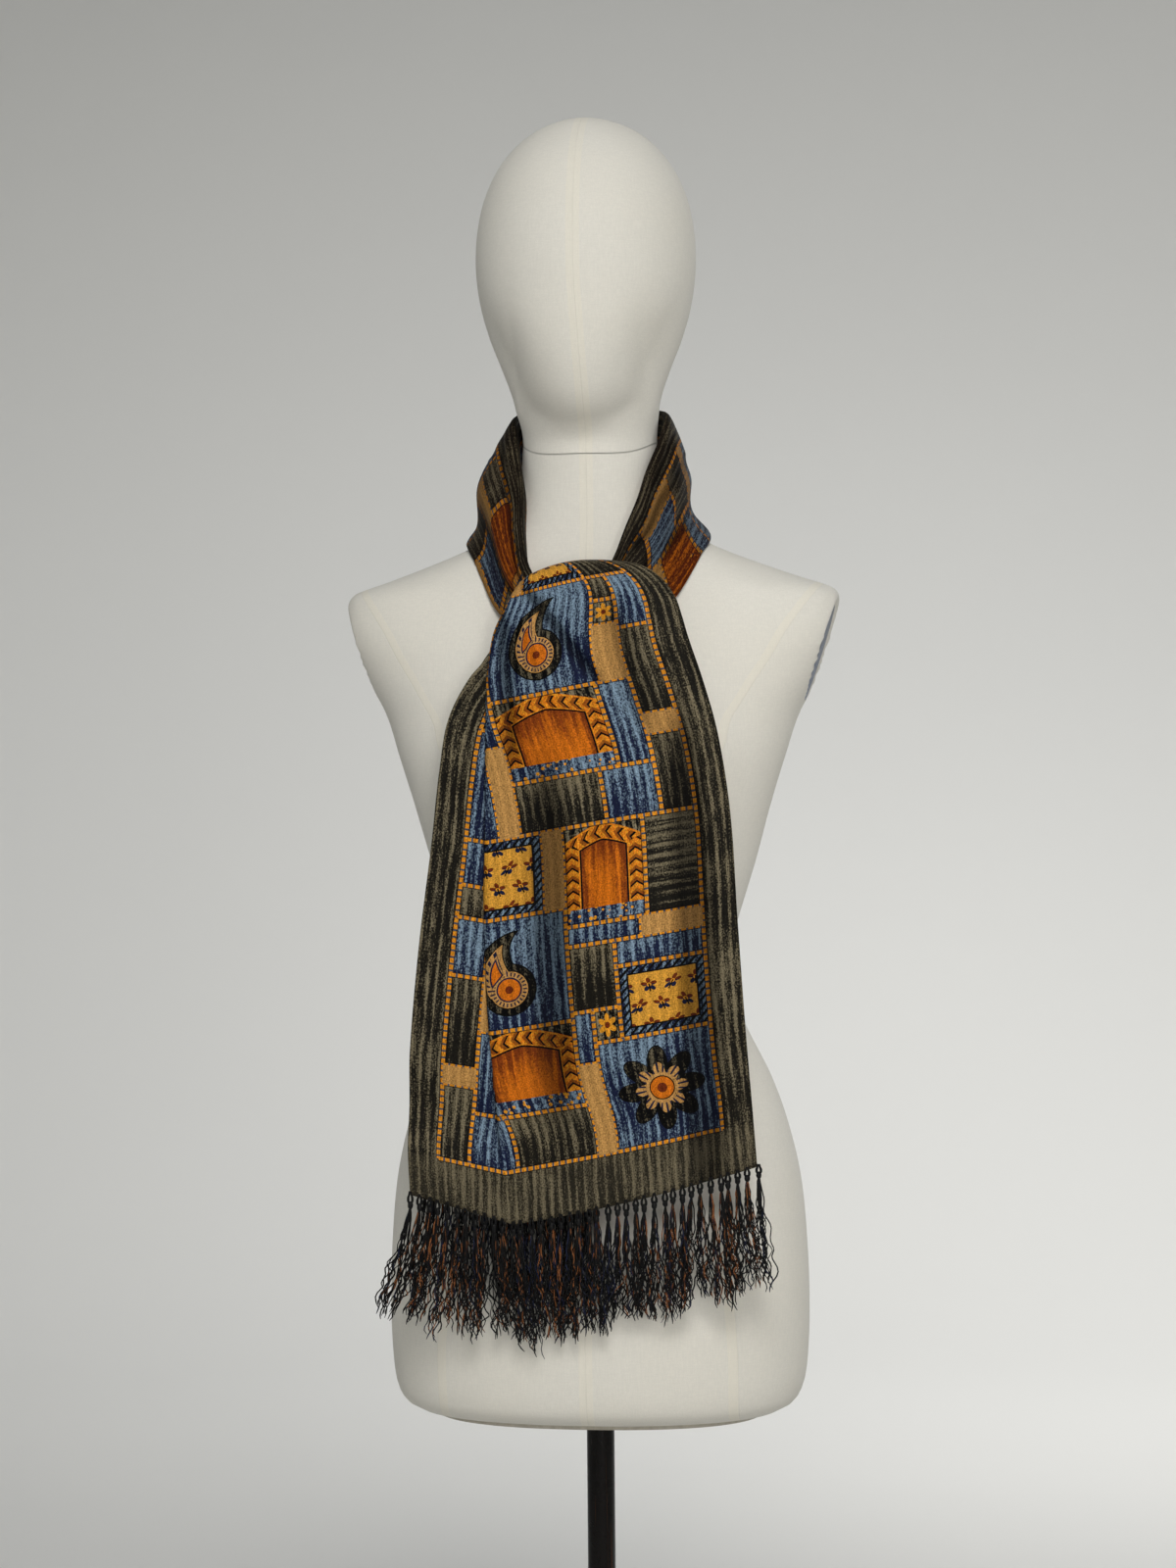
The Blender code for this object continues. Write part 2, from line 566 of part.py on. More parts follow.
def fall_normal(down):
    """The way out of the cloth's front face in side view, on the roll and below it."""
    step = 0.004
    along = panel_point(down + step, 0.4) - panel_point(down - step, 0.4)
    return Vector((0.0, along.z, -along.y)).normalized()


def pleat_path(down):
    """Points from the panel's fold round the pleat to the left edge: (sideways, behind)."""
    fold = blend_rows(FRONT_FALL, "fold", down)
    left = blend_rows(FRONT_FALL, "left", down)
    tuck = max(blend_rows(FRONT_FALL, "tuck", down).x, TUCK_LEAST)
    turn = math.pi * smooth_step(0.0, PLEAT_OPEN, tuck)
    bend = PLEAT_TURN * max(turn, PLEAT_TURN_LEAST) / TURN_STEPS
    into = [(math.pi - turn * (step + 0.5) / TURN_STEPS, bend) for step in range(TURN_STEPS)]
    under = [(math.pi - turn, tuck / TUCK_STEPS)] * TUCK_STEPS
    out = [(heading, length) for heading, length in reversed(into)]
    path = [Vector((0.0, 0.0))]
    for heading, length in into + under + out:
        path.append(path[-1] + Vector((math.cos(heading), math.sin(heading))) * length)
    start, edge = path[-1], Vector((left.x - fold.x, path[-1].y))
    path += [start.lerp(edge, step / LEFT_STEPS) for step in range(1, LEFT_STEPS + 1)]
    return path, left.y


def build_front_fall(parent, trees):
    pleat_steps = 2 * TURN_STEPS + TUCK_STEPS + LEFT_STEPS
    columns = pleat_steps + PANEL_STEPS
    start, end = FRONT_FALL[0].down, FRONT_FALL[-1].down
    rows = FALL_ROWS_TOP + FALL_ROWS_BELOW

    def place(column, row):
        if row <= FALL_ROWS_TOP:
            down = start + (FALL_ROLL_END - start) * row / FALL_ROWS_TOP
        else:
            down = FALL_ROLL_END + (end - FALL_ROLL_END) * (row - FALL_ROWS_TOP) / FALL_ROWS_BELOW
        if column >= pleat_steps:
            point = panel_point(down, (column - pleat_steps) / PANEL_STEPS)
        else:
            path, lift = pleat_path(down)
            sideways, behind = path[pleat_steps - column]
            point = panel_point(down, 0.0) - fall_normal(down) * behind
            point.x += sideways
            if sideways < 0.0:
                point.z += lift * min(1.0, sideways / (path[-1].x or -1.0))
        return held_clear(point, trees)

    cloth_wall("scarf_front_fall", place, columns, rows, parent, FRONT_HEM_AT)
    return [place(column, rows) for column in range(columns + 1)]


def build_under_fall(parent, trees):
    rows = list(reversed(UNDER_FALL))
    columns = 2 * UNDER_STEPS + TURN_STEPS

    def place(column, row):
        height = rows[0].height + (rows[-1].height - rows[0].height) * row / UNDER_ROWS
        left = blend_rows(rows, "left", height).x
        right = blend_rows(rows, "right", height).x
        depth = blend_rows(rows, "depth", height).x
        lift = blend_rows(rows, "lift", height).x
        if column <= UNDER_STEPS:
            share = column / UNDER_STEPS
            x, y = left + (right - left) * share, depth
        elif column < UNDER_STEPS + TURN_STEPS:
            angle = math.pi * (column - UNDER_STEPS) / TURN_STEPS
            x = right + UNDER_TURN * math.sin(angle)
            y = depth + UNDER_TURN * (1.0 - math.cos(angle))
        else:
            share = (column - UNDER_STEPS - TURN_STEPS) / UNDER_STEPS
            x, y = right + (left + 0.012 - right) * share, depth + 2.0 * UNDER_TURN
        rise = lift * (right - x) / (right - left)
        return held_clear(Vector((x, y, height + rise)), trees)

    cloth_wall("scarf_under_fall", place, columns, UNDER_ROWS, parent, UNDER_HEM_AT)
    return [place(column, 0) + Vector((0.0, UNDER_TURN, 0.0)) for column in range(UNDER_STEPS + 1)]


# ---- the fringes --------------------------------------------------------------------------------

def hem_point(hem, share):
    """A point of the hem at a share of its length, and the level direction along it."""
    reach = [0.0]
    for first, second in zip(hem, hem[1:]):
        reach.append(reach[-1] + (second - first).length)
    at = min(max(share, 0.0), 1.0) * reach[-1]
    index = max(i for i in range(len(hem) - 1) if reach[i] <= at)
    part = (at - reach[index]) / (reach[index + 1] - reach[index])
    along = hem[index + 1] - hem[index]
    along.z = 0.0
    return hem[index].lerp(hem[index + 1], part), along.normalized()


def drop_face(bm, face, target, width, depth):
    """Extrude one level face down to a place and scale it there."""
    lower = bmesh.ops.extrude_discrete_faces(bm, faces=[face])["faces"][0]
    centre = lower.calc_center_median()
    for vert in lower.verts:
        offset = vert.co - centre
        vert.co = target + Vector((offset.x * width, offset.y * depth, 0.0))
    return lower


def part_face(bm, face, count):
    """Split a level face into a row of faces from left to right."""
    if count == 1:
        return [face]
    height = face.calc_center_median().z
    known = set(bm.faces) - {face}
    rails = sorted(face.edges, key=lambda e: abs(e.verts[0].co.x - e.verts[1].co.x))[-2:]
    bmesh.ops.subdivide_edges(bm, edges=rails, cuts=count - 1, use_grid_fill=True)
    fresh = [f for f in bm.faces
             if f not in known and max(abs(v.co.z - height) for v in f.verts) < 1e-6]
    return sorted(fresh, key=lambda f: f.calc_center_median().x)


def uneven(number):
    """A fixed scatter from -1 to 1 for the lock of a given number."""
    return math.sin(number * 12.9898 + 78.233)


def build_strip(bm, hem, tassels):
    """The strip under the hem; every second of its cells is the root of a tassel."""
    columns = 2 * tassels - 1
    bmesh.ops.create_grid(bm, x_segments=columns, y_segments=1, size=0.5)
    cells = sorted(bm.faces, key=lambda f: f.calc_center_median().x)
    for vert in bm.verts:
        tassel, far = divmod(round((vert.co.x + 0.5) * columns), 2)
        place, along = hem_point(hem, (tassel + ROOT_SHARE * far) / (tassels - 1 + ROOT_SHARE))
        half_depth = math.copysign(STRIP_DEPTH / 2.0, vert.co.y)
        place += Vector((-along.y, along.x, 0.0)) * half_depth
        place.z -= STRIP_HEIGHT + 2.0 * SEAM_GAP
        vert.co = place
    raised = bmesh.ops.extrude_face_region(bm, geom=bm.faces[:])["geom"]
    top = [v for v in raised if isinstance(v, bmesh.types.BMVert)]
    bmesh.ops.translate(bm, verts=top, vec=(0.0, 0.0, STRIP_HEIGHT))
    return cells[::2]


def build_fringe(name, hem, tassels, locks, lean, parent, at):
    """A strip under the hem with a row of tassels, each parted into locks below its head."""
    bm = bmesh.new()
    roots = build_strip(bm, hem, tassels)
    head_width = HEAD_WIDTH if locks > 1 else PLAIN_HEAD_WIDTH
    for tassel, root in enumerate(roots):
        aside = lean(tassel / (tassels - 1))
        start = root.calc_center_median()
        knot = drop_face(bm, root, start - Vector((0.0, 0.0, KNOT_DROP)), KNOT_WIDTH, 1.0)
        head = drop_face(bm, knot, start - Vector((0.0, 0.0, HEAD_DROP)), head_width, 1.0)
        for lock, tip in enumerate(part_face(bm, head, locks)):
            number = tassel * locks + lock
            outward = (lock - (locks - 1) / 2.0) * LOCK_PART
            length = FRINGE_LENGTH + FRINGE_UNEVEN * uneven(number)
            begin = tip.calc_center_median()
            for fall in LOCK_FALLS:
                sway = SWAY * math.sin(SWAY_PITCH * tassel + SWAY_DROP * fall)
                tip = drop_face(bm, tip, begin + Vector((
                    aside * fall ** 1.4 + outward * fall + sway * min(1.0, 2.0 * fall),
                    -LOCK_FORWARD[number % 2] * fall,
                    -length * fall,
                )), *LOCK_TAPER)
    bmesh.ops.recalc_face_normals(bm, faces=bm.faces[:])
    make_object(name, bm, THREAD, parent, at)


def front_lean(share):
    """How far the front fringe leans to the side near its two ends."""
    return 0.015 * smooth_step(0.80, 1.0, share) - 0.022 * smooth_step(0.22, 0.0, share)


def under_lean(share):
    """The hidden fringe leans out at its left end with the front one."""
    return -0.014 * smooth_step(0.30, 0.0, share)


def main():
    clear_scene()
    form = make_group("dress_form")
    scarf = make_group("scarf")

    build_stand(form)
    torso, outlines = build_torso(form)
    head = build_head(form)
    build_armhole_plate("armhole_plate_left", outlines[-1], -1, form)
    build_armhole_plate("armhole_plate_right", outlines[1], 1, form)

    trees = form_trees(torso, head)
    build_neck_loop(scarf, trees)
    front_hem = build_front_fall(scarf, trees)
    under_hem = build_under_fall(scarf, trees)
    build_fringe("fringe_front", front_hem, TASSELS, LOCKS, front_lean, scarf, FRONT_HEM_AT)
    build_fringe("fringe_under", under_hem, UNDER_TASSELS, 1, under_lean, scarf, UNDER_HEM_AT)


main()
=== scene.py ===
"""Fringed silk scarf, wound round the neck of a dress form and tied once over.

Metres, +Z up; the form faces -Y and stands on the floor at the origin. Print and weave follow
the cloth through its own coordinates: u across it from the right selvage, v up from its end.
"""

import math
import random
from collections import namedtuple

import bmesh
import bpy
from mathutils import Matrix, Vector, noise
from mathutils.bvhtree import BVHTree


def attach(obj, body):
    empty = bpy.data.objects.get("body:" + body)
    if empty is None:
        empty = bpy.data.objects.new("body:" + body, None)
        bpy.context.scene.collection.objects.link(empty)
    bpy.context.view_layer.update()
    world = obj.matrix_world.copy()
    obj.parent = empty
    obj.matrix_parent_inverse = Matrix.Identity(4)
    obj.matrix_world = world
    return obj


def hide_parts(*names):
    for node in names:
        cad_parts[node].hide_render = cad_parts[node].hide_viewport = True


bl_info = {
    "name": "Fringed silk scarf",
    "version": (1, 0, 0),
    "blender": (4, 5, 0),
    "location": "View3D > Sidebar > Scarf",
    "description": "Builds a printed silk scarf with knotted fringes on a dress form",
    "category": "Add Mesh",
}

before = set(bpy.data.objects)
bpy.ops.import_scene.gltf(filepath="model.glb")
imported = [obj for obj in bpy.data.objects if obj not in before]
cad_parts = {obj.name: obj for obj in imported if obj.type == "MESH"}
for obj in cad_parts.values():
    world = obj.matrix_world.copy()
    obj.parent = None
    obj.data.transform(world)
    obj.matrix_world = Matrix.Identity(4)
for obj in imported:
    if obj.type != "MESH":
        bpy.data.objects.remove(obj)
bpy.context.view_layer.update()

# ---- the form's sections: height, half width, front and back (y), fullness of the outline -------

Section = namedtuple("Section", "height half_width front back fullness")

TORSO = [
    Section(0.4420, 0.1330, -0.0830, 0.0880, 2.30),
    Section(0.4440, 0.1440, -0.0925, 0.0980, 2.30),
    Section(0.4490, 0.1535, -0.1010, 0.1070, 2.30),
    Section(0.4580, 0.1600, -0.1065, 0.1130, 2.30),
    Section(0.4740, 0.1640, -0.1095, 0.1175, 2.30),
    Section(0.5158, 0.1665, -0.1110, 0.1200, 2.30),
    Section(0.5700, 0.1655, -0.1085, 0.1160, 2.25),
    Section(0.6250, 0.1608, -0.1020, 0.1070, 2.20),
    Section(0.6680, 0.1512, -0.0960, 0.0960, 2.20),
    Section(0.7050, 0.1385, -0.0915, 0.0850, 2.15),
    Section(0.7430, 0.1200, -0.0870, 0.0740, 2.10),
    Section(0.7720, 0.1085, -0.0835, 0.0655, 2.10),
    Section(0.8010, 0.1060, -0.0830, 0.0610, 2.10),
    Section(0.8317, 0.1145, -0.0855, 0.0615, 2.15),
    Section(0.8746, 0.1280, -0.0945, 0.0660, 2.20),
    Section(0.9214, 0.1410, -0.1080, 0.0750, 2.25),
    Section(0.9600, 0.1530, -0.1145, 0.0840, 2.25),
    Section(0.9940, 0.1646, -0.1100, 0.0900, 2.25),
    Section(1.0250, 0.1830, -0.1010, 0.0925, 2.25),
    Section(1.0520, 0.1990, -0.0920, 0.0900, 2.25),
    Section(1.0740, 0.2040, -0.0830, 0.0840, 2.20),
    Section(1.0880, 0.1960, -0.0770, 0.0785, 2.20),
    Section(1.1000, 0.1620, -0.0725, 0.0710, 2.20),
    Section(1.1110, 0.1310, -0.0690, 0.0640, 2.20),
    Section(1.1225, 0.1020, -0.0660, 0.0580, 2.15),
    Section(1.1340, 0.0810, -0.0642, 0.0530, 2.10),
    Section(1.1500, 0.0655, -0.0636, 0.0480, 2.05),
    Section(1.1700, 0.0565, -0.0642, 0.0440, 2.00),
    Section(1.1960, 0.0530, -0.0668, 0.0415, 2.00),
]

HEAD = [
    Section(1.1963, 0.0530, -0.0668, 0.0415, 2.00),
    Section(1.2080, 0.0535, -0.0690, 0.0410, 2.00),
    Section(1.2200, 0.0547, -0.0785, 0.0410, 2.00),
    Section(1.2290, 0.0560, -0.0935, 0.0415, 2.00),
    Section(1.2380, 0.0576, -0.1035, 0.0425, 2.00),
    Section(1.2500, 0.0614, -0.1115, 0.0450, 2.00),
    Section(1.2660, 0.0675, -0.1190, 0.0500, 2.00),
    Section(1.2870, 0.0756, -0.1250, 0.0575, 2.00),
    Section(1.3120, 0.0825, -0.1282, 0.0640, 2.00),
    Section(1.3410, 0.0862, -0.1290, 0.0680, 2.00),
    Section(1.3690, 0.0853, -0.1255, 0.0690, 2.00),
    Section(1.3950, 0.0802, -0.1175, 0.0655, 2.00),
    Section(1.4180, 0.0706, -0.1045, 0.0580, 2.00),
    Section(1.4360, 0.0573, -0.0880, 0.0460, 2.00),
    Section(1.4490, 0.0415, -0.0705, 0.0300, 2.00),
    Section(1.4570, 0.0230, -0.0520, 0.0130, 2.00),
    Section(1.4603, 0.0050, -0.0330, -0.0240, 2.00),
]
FORM_POINTS = 180            # round a section
FORM_RISE = 0.008            # between the rings of the torso and head
SHOULDER_RISE = 0.003        # and between the close ones of the shoulders and the lower head
JAW_LIFT = 0.021             # of the sides of the chin's underside
CHIN_DROP = 0.004            # and of its middle, downwards
NECK_LINE_RISE = 0.0091      # of the line between head and torso, at the sides
NECK_LINE_DIP = 0.0117       # from there to the front
NECK_LINE_REACH = 0.040      # up and down from it
ARMHOLE_AT = (0.1895, 1.0774)
ARMHOLE_LEAN = math.radians(17.0)
ARMHOLE_FOOT = 0.955
PLATE_SHARE = 0.76
PLATE_LIFT = 0.0003
PLATE_HEIGHT = 0.0016
PLATE_ROUNDING = 0.0007
RIM_HEIGHT = 0.0042          # of the cover's rolled rim round a plate
RIM_ROUNDING = (0.0046, 0.0030)  # its radius, and how much more of it there is at the top
RIM_FADE = 0.08              # from the plate to the rim, as a share of the way to the outline
PRESS_DEPTH = 0.012          # how far inside a shoulder end's plane the pressing starts
JAW_FRONT = (-0.035, -0.075)     # y between which the shaping of the jaw comes in
JAW_FOOT = (1.200, 1.226)        # and heights at its foot and its top
JAW_TOP = (1.345, 1.240)
JAW_ASIDE = 0.050            # from the middle to where it is full
NECK_LINE_FRONT = (-0.015, -0.066)  # y between which the line dips
CLOSE_BELOW = 0.095          # the close rings end so far below a form's top
PRESS_PASSES = 3             # of smoothing over the pressed end
PRESS_SMOOTH = 0.4           # share of the way to a point's neighbours, each time
PLATE_POINTS = 64            # round a plate

# Sewn lines of the cover: x at a height, for the middle of the head and torso and for its sides.
Line = namedtuple("Line", "height x")

MIDDLE_LINE = [Line(0.440, 0.002), Line(1.196, 0.003), Line(1.234, 0.005), Line(1.280, 0.004),
               Line(1.325, 0.002), Line(1.462, 0.001)]
SIDE_LINE = [Line(0.440, 0.116), Line(0.510, 0.116), Line(0.620, 0.104), Line(0.740, 0.078),
             Line(0.800, 0.070), Line(0.880, 0.082), Line(0.940, 0.098), Line(0.966, 0.111),
             Line(0.985, 0.1155), Line(1.002, 0.1255), Line(1.017, 0.1345), Line(1.034, 0.1455),
             Line(1.056, 0.158), Line(1.072, 0.169), Line(1.095, 0.186), Line(1.110, 0.200),
             Line(1.462, 0.300)]

# ---- the stand ----------------------------------------------------------------------------------

BASE_RADIUS = 0.200
BASE_HEIGHT = 0.011
BASE_EDGE = 0.003
BASE_STEPS = 128             # round it
BOSS_RADIUS = 0.024
BOSS_HEIGHT = 0.026
BOSS_FOOT = [(0.010, 0.0003), (0.004, 0.001), (0.001, 0.003), (0.000, 0.005)]  # out, and up
BOSS_TOP = [(-0.001, 0.002), (-0.0018, 0.0006), (-0.003, 0.000)]  # out, and down from its top
POLE_RADIUS = 0.011
POLE_STEPS = 48
POLE_FOOT = 0.0263
POLE_TOP = 0.4384
BOARD_FOOT = 0.4387
BOARD_TOP = 0.4417
BOARD_INSET = 0.97

# ---- the wound stretch of the scarf: its sections, as in the solids -----------------------------

NECK_AXIS_Y = -0.012
Wound = namedtuple("Wound", "turn inner hug crest crease swell nip lower foot")

NECK_LOOP = [
    Wound(-164, (0.0895, 1.064), (0.0885, 1.074), (0.0912, 1.084), (0.0945, 1.0805),
          (0.0970, 1.075), (0.0960, 1.069), (0.0965, 1.062), (0.0945, 1.054)),
    Wound(-152, (0.0865, 1.070), (0.0825, 1.092), (0.0870, 1.109), (0.0925, 1.101),
          (0.0990, 1.085), (0.0970, 1.076), (0.1000, 1.066), (0.0960, 1.055)),
    Wound(-141, (0.0825, 1.091), (0.0710, 1.125), (0.0747, 1.143), (0.0790, 1.133),
          (0.0985, 1.106), (0.0955, 1.092), (0.1010, 1.078), (0.0965, 1.066)),
    Wound(-129, (0.0765, 1.122), (0.0600, 1.155), (0.0640, 1.172), (0.0680, 1.162),
          (0.0895, 1.138), (0.0865, 1.118), (0.0965, 1.102), (0.0925, 1.098)),
    Wound(-110, (0.0765, 1.138), (0.0570, 1.180), (0.0595, 1.203), (0.0650, 1.196),
          (0.0890, 1.168), (0.0865, 1.146), (0.0960, 1.130), (0.0925, 1.1245)),
    Wound(-90, (0.0765, 1.144), (0.0565, 1.190), (0.0605, 1.226), (0.0665, 1.219),
          (0.0905, 1.176), (0.0875, 1.152), (0.0985, 1.138), (0.0920, 1.1325)),
    Wound(-60, (0.0765, 1.142), (0.0570, 1.190), (0.0620, 1.234), (0.0685, 1.227),
          (0.0910, 1.186), (0.0885, 1.160), (0.0985, 1.140), (0.0930, 1.1290)),
    Wound(-30, (0.0780, 1.130), (0.0580, 1.190), (0.0640, 1.238), (0.0710, 1.231),
          (0.0920, 1.190), (0.0900, 1.162), (0.0985, 1.136), (0.0940, 1.114)),
    Wound(0, (0.0780, 1.125), (0.0590, 1.190), (0.0650, 1.240), (0.0725, 1.233),
          (0.0920, 1.192), (0.0905, 1.162), (0.0980, 1.132), (0.0930, 1.106)),
    Wound(30, (0.0780, 1.130), (0.0580, 1.190), (0.0640, 1.238), (0.0705, 1.231),
          (0.0890, 1.190), (0.0870, 1.158), (0.0970, 1.134), (0.0930, 1.114)),
    Wound(60, (0.0765, 1.142), (0.0570, 1.190), (0.0620, 1.234), (0.0680, 1.227),
          (0.0840, 1.186), (0.0815, 1.156), (0.0960, 1.138), (0.0920, 1.1290)),
    Wound(90, (0.0765, 1.144), (0.0565, 1.190), (0.0600, 1.225), (0.0655, 1.217),
          (0.0795, 1.176), (0.0790, 1.156), (0.0950, 1.138), (0.0905, 1.1335)),
    Wound(110, (0.0765, 1.138), (0.0570, 1.180), (0.0590, 1.203), (0.0640, 1.196),
          (0.0785, 1.170), (0.0790, 1.150), (0.0975, 1.127), (0.0925, 1.1240)),
    Wound(128, (0.0765, 1.123), (0.0590, 1.160), (0.0620, 1.182), (0.0665, 1.173),
          (0.0825, 1.148), (0.0830, 1.128), (0.1005, 1.099), (0.0945, 1.0970)),
    Wound(141, (0.0815, 1.093), (0.0650, 1.137), (0.0680, 1.158), (0.0740, 1.147),
          (0.0920, 1.121), (0.0915, 1.102), (0.1040, 1.079), (0.0985, 1.067)),
    Wound(152, (0.0850, 1.072), (0.0700, 1.114), (0.0730, 1.134), (0.0790, 1.124),
          (0.0950, 1.102), (0.0945, 1.090), (0.0990, 1.073), (0.0960, 1.060)),
    Wound(161, (0.0870, 1.066), (0.0770, 1.094), (0.0790, 1.109), (0.0840, 1.102),
          (0.0930, 1.091), (0.0920, 1.081), (0.0950, 1.068), (0.0930, 1.056)),
    Wound(172, (0.0875, 1.066), (0.0865, 1.078), (0.0882, 1.089), (0.0915, 1.085),
          (0.0932, 1.080), (0.0926, 1.074), (0.0938, 1.067), (0.0922, 1.057)),
    Wound(186, (0.0875, 1.066), (0.0868, 1.077), (0.0882, 1.087), (0.0915, 1.084),
          (0.0930, 1.079), (0.0924, 1.073), (0.0936, 1.067), (0.0920, 1.057)),
]

# ---- the front fall: its sections, as in the solids ---------------------------------------------

Fall = namedtuple("Fall", "down fold middle right tuck left")

FRONT_FALL = [
    Fall(-0.044, (-0.028, -0.0905, 1.066), (-0.010, -0.0905, 1.068), (0.006, -0.0900, 1.069),
         0.014, (-0.024, 0.0)),
    Fall(-0.028, (-0.028, -0.0870, 1.080), (-0.010, -0.0865, 1.083), (0.006, -0.0865, 1.083),
         0.016, (-0.024, 0.0)),
    Fall(-0.013, (-0.028, -0.0885, 1.0935), (-0.009, -0.0860, 1.0985), (0.007, -0.0860, 1.0980),
         0.018, (-0.024, 0.0)),
    Fall(0.000, (-0.030, -0.0980, 1.1000), (-0.008, -0.0950, 1.1065), (0.012, -0.0945, 1.1060),
         0.026, (-0.028, 0.0)),
    Fall(0.012, (-0.040, -0.1085, 1.0945), (-0.006, -0.1070, 1.1055), (0.030, -0.1040, 1.1070),
         0.036, (-0.032, 0.0)),
    Fall(0.026, (-0.047, -0.1145, 1.0840), (0.000, -0.1170, 1.0960), (0.050, -0.1095, 1.1030),
         0.046, (-0.034, 0.0)),
    Fall(0.042, (-0.053, -0.1170, 1.0710), (0.006, -0.1215, 1.0830), (0.066, -0.1125, 1.0925),
         0.054, (-0.038, 0.0)),
    Fall(0.057, (-0.060, -0.1185, 1.0570), (0.009, -0.1230, 1.0690), (0.0760, -0.1150, 1.0790),
         0.060, (-0.048, 0.0)),
    Fall(0.072, (-0.0635, -0.1200, 1.0420), (0.010, -0.1245, 1.0550), (0.0805, -0.1165, 1.0670),
         0.060, (-0.062, 0.0)),
    Fall(0.095, (-0.0662, -0.1225, 1.0190), (0.012, -0.1265, 1.0330), (0.0865, -0.1190, 1.0470),
         0.056, (-0.079, 0.004)),
    Fall(0.130, (-0.0672, -0.1255, 0.9840), (0.014, -0.1288, 0.9990), (0.0975, -0.1205, 1.0140),
         0.045, (-0.0970, 0.006)),
    Fall(0.170, (-0.0678, -0.1265, 0.9440), (0.018, -0.1295, 0.9590), (0.1085, -0.1225, 0.9740),
         0.034, (-0.1045, 0.007)),
    Fall(0.230, (-0.0690, -0.1265, 0.8840), (0.020, -0.1290, 0.8990), (0.1175, -0.1235, 0.9140),
         0.026, (-0.1115, 0.008)),
    Fall(0.310, (-0.0692, -0.1265, 0.8040), (0.024, -0.1285, 0.8190), (0.1222, -0.1240, 0.8350),
         0.020, (-0.1220, 0.009)),
    Fall(0.390, (-0.0645, -0.1265, 0.7240), (0.028, -0.1280, 0.7390), (0.1272, -0.1240, 0.7570),
         0.012, (-0.1296, 0.010)),
    Fall(0.450, (-0.0588, -0.1265, 0.6640), (0.032, -0.1275, 0.6800), (0.1315, -0.1240, 0.7010),
         0.005, (-0.1313, 0.013)),
    Fall(0.478, (-0.0548, -0.1265, 0.6350), (0.036, -0.1275, 0.6530), (0.1335, -0.1240, 0.6750),
         0.001, (-0.1308, 0.017)),
    Fall(0.511, (-0.0500, -0.1265, 0.6030), (0.040, -0.1275, 0.6210), (0.1355, -0.1240, 0.6475),
         0.000, (-0.1295, 0.022)),
]
PLEAT_TURN = 0.00125         # radius of the long pleat's folds
PLEAT_TURN_LEAST = 1.6
PLEAT_OPEN = 0.012
TUCK_LEAST = 0.0012

# Soft creases of the front panel: ends (height, x), width, and how proud (a trough is negative).
Crease = namedtuple("Crease", "top foot width proud")

CREASES = [
    Crease((1.078, -0.046), (1.000, -0.012), 0.0055, 0.0042),
    Crease((1.082, -0.034), (1.020, 0.014), 0.0055, -0.0040),
    Crease((1.066, -0.056), (0.960, -0.048), 0.0060, -0.0030),
    Crease((1.070, 0.030), (0.980, 0.052), 0.0100, -0.0018),
    Crease((0.960, 0.030), (0.680, 0.038), 0.0180, 0.0032),
    Crease((0.960, 0.084), (0.640, 0.098), 0.0120, -0.0048),
    Crease((0.930, -0.022), (0.700, -0.016), 0.0150, -0.0032),
    Crease((1.030, 0.086), (0.900, 0.104), 0.0070, 0.0016),
]

# ---- the hidden end, folded in half lengthwise --------------------------------------------------

Under = namedtuple("Under", "height left right depth lift")

UNDER_FALL = [
    Under(0.628, -0.120, 0.012, -0.1145, 0.014),
    Under(0.690, -0.114, 0.012, -0.1148, 0.010),
    Under(0.780, -0.104, 0.012, -0.1165, 0.008),
    Under(0.880, -0.090, 0.014, -0.1188, 0.007),
    Under(0.945, -0.074, 0.018, -0.1188, 0.006),
    Under(0.985, -0.056, 0.022, -0.1160, 0.004),
    Under(1.010, -0.046, 0.025, -0.1105, 0.003),
    Under(1.035, -0.036, 0.026, -0.1045, 0.001),
    Under(1.052, -0.030, 0.022, -0.1010, 0.000),
]
UNDER_TURN = 0.0010

# ---- the cloth ----------------------------------------------------------------------------------

CLOTH_WIDTH = 0.280
UNIT = 0.005                 # every patch of the print is a whole number of these
COLUMN = UNIT / 2.0          # spacing of the mesh across the cloth
BORDER = 0.025               # plain dark border along the selvages
END_BORDER = 0.040           # and across the ends

# One repeat of the print, in units from its lower right corner. kind picks the ground,
# motif what is set on it (CROSSWISE: streaks across a dark patch, no frame on an orange one).
Patch = namedtuple("Patch", "kind motif left foot width height")

DARK, BLUE, ORANGE, MUSTARD, TAN, TILE = range(6)
EDGE = 7                     # the plain border, apart from the patches
PLAIN, ROSETTE, PAISLEY, CROSSWISE = range(4)

# The dark and the light dye of each kind's streaks, by their names among the cloth's colours.
STREAK_DYES = {DARK: ("black", "olive"), BLUE: ("navy", "steel"), ORANGE: ("rust", "orange"),
               MUSTARD: ("mustard", "mustard"), TAN: ("tan", "tan"), TILE: ("gold", "gold"),
               EDGE: ("black", "olive")}

Layout = namedtuple("Layout", "width height patches")

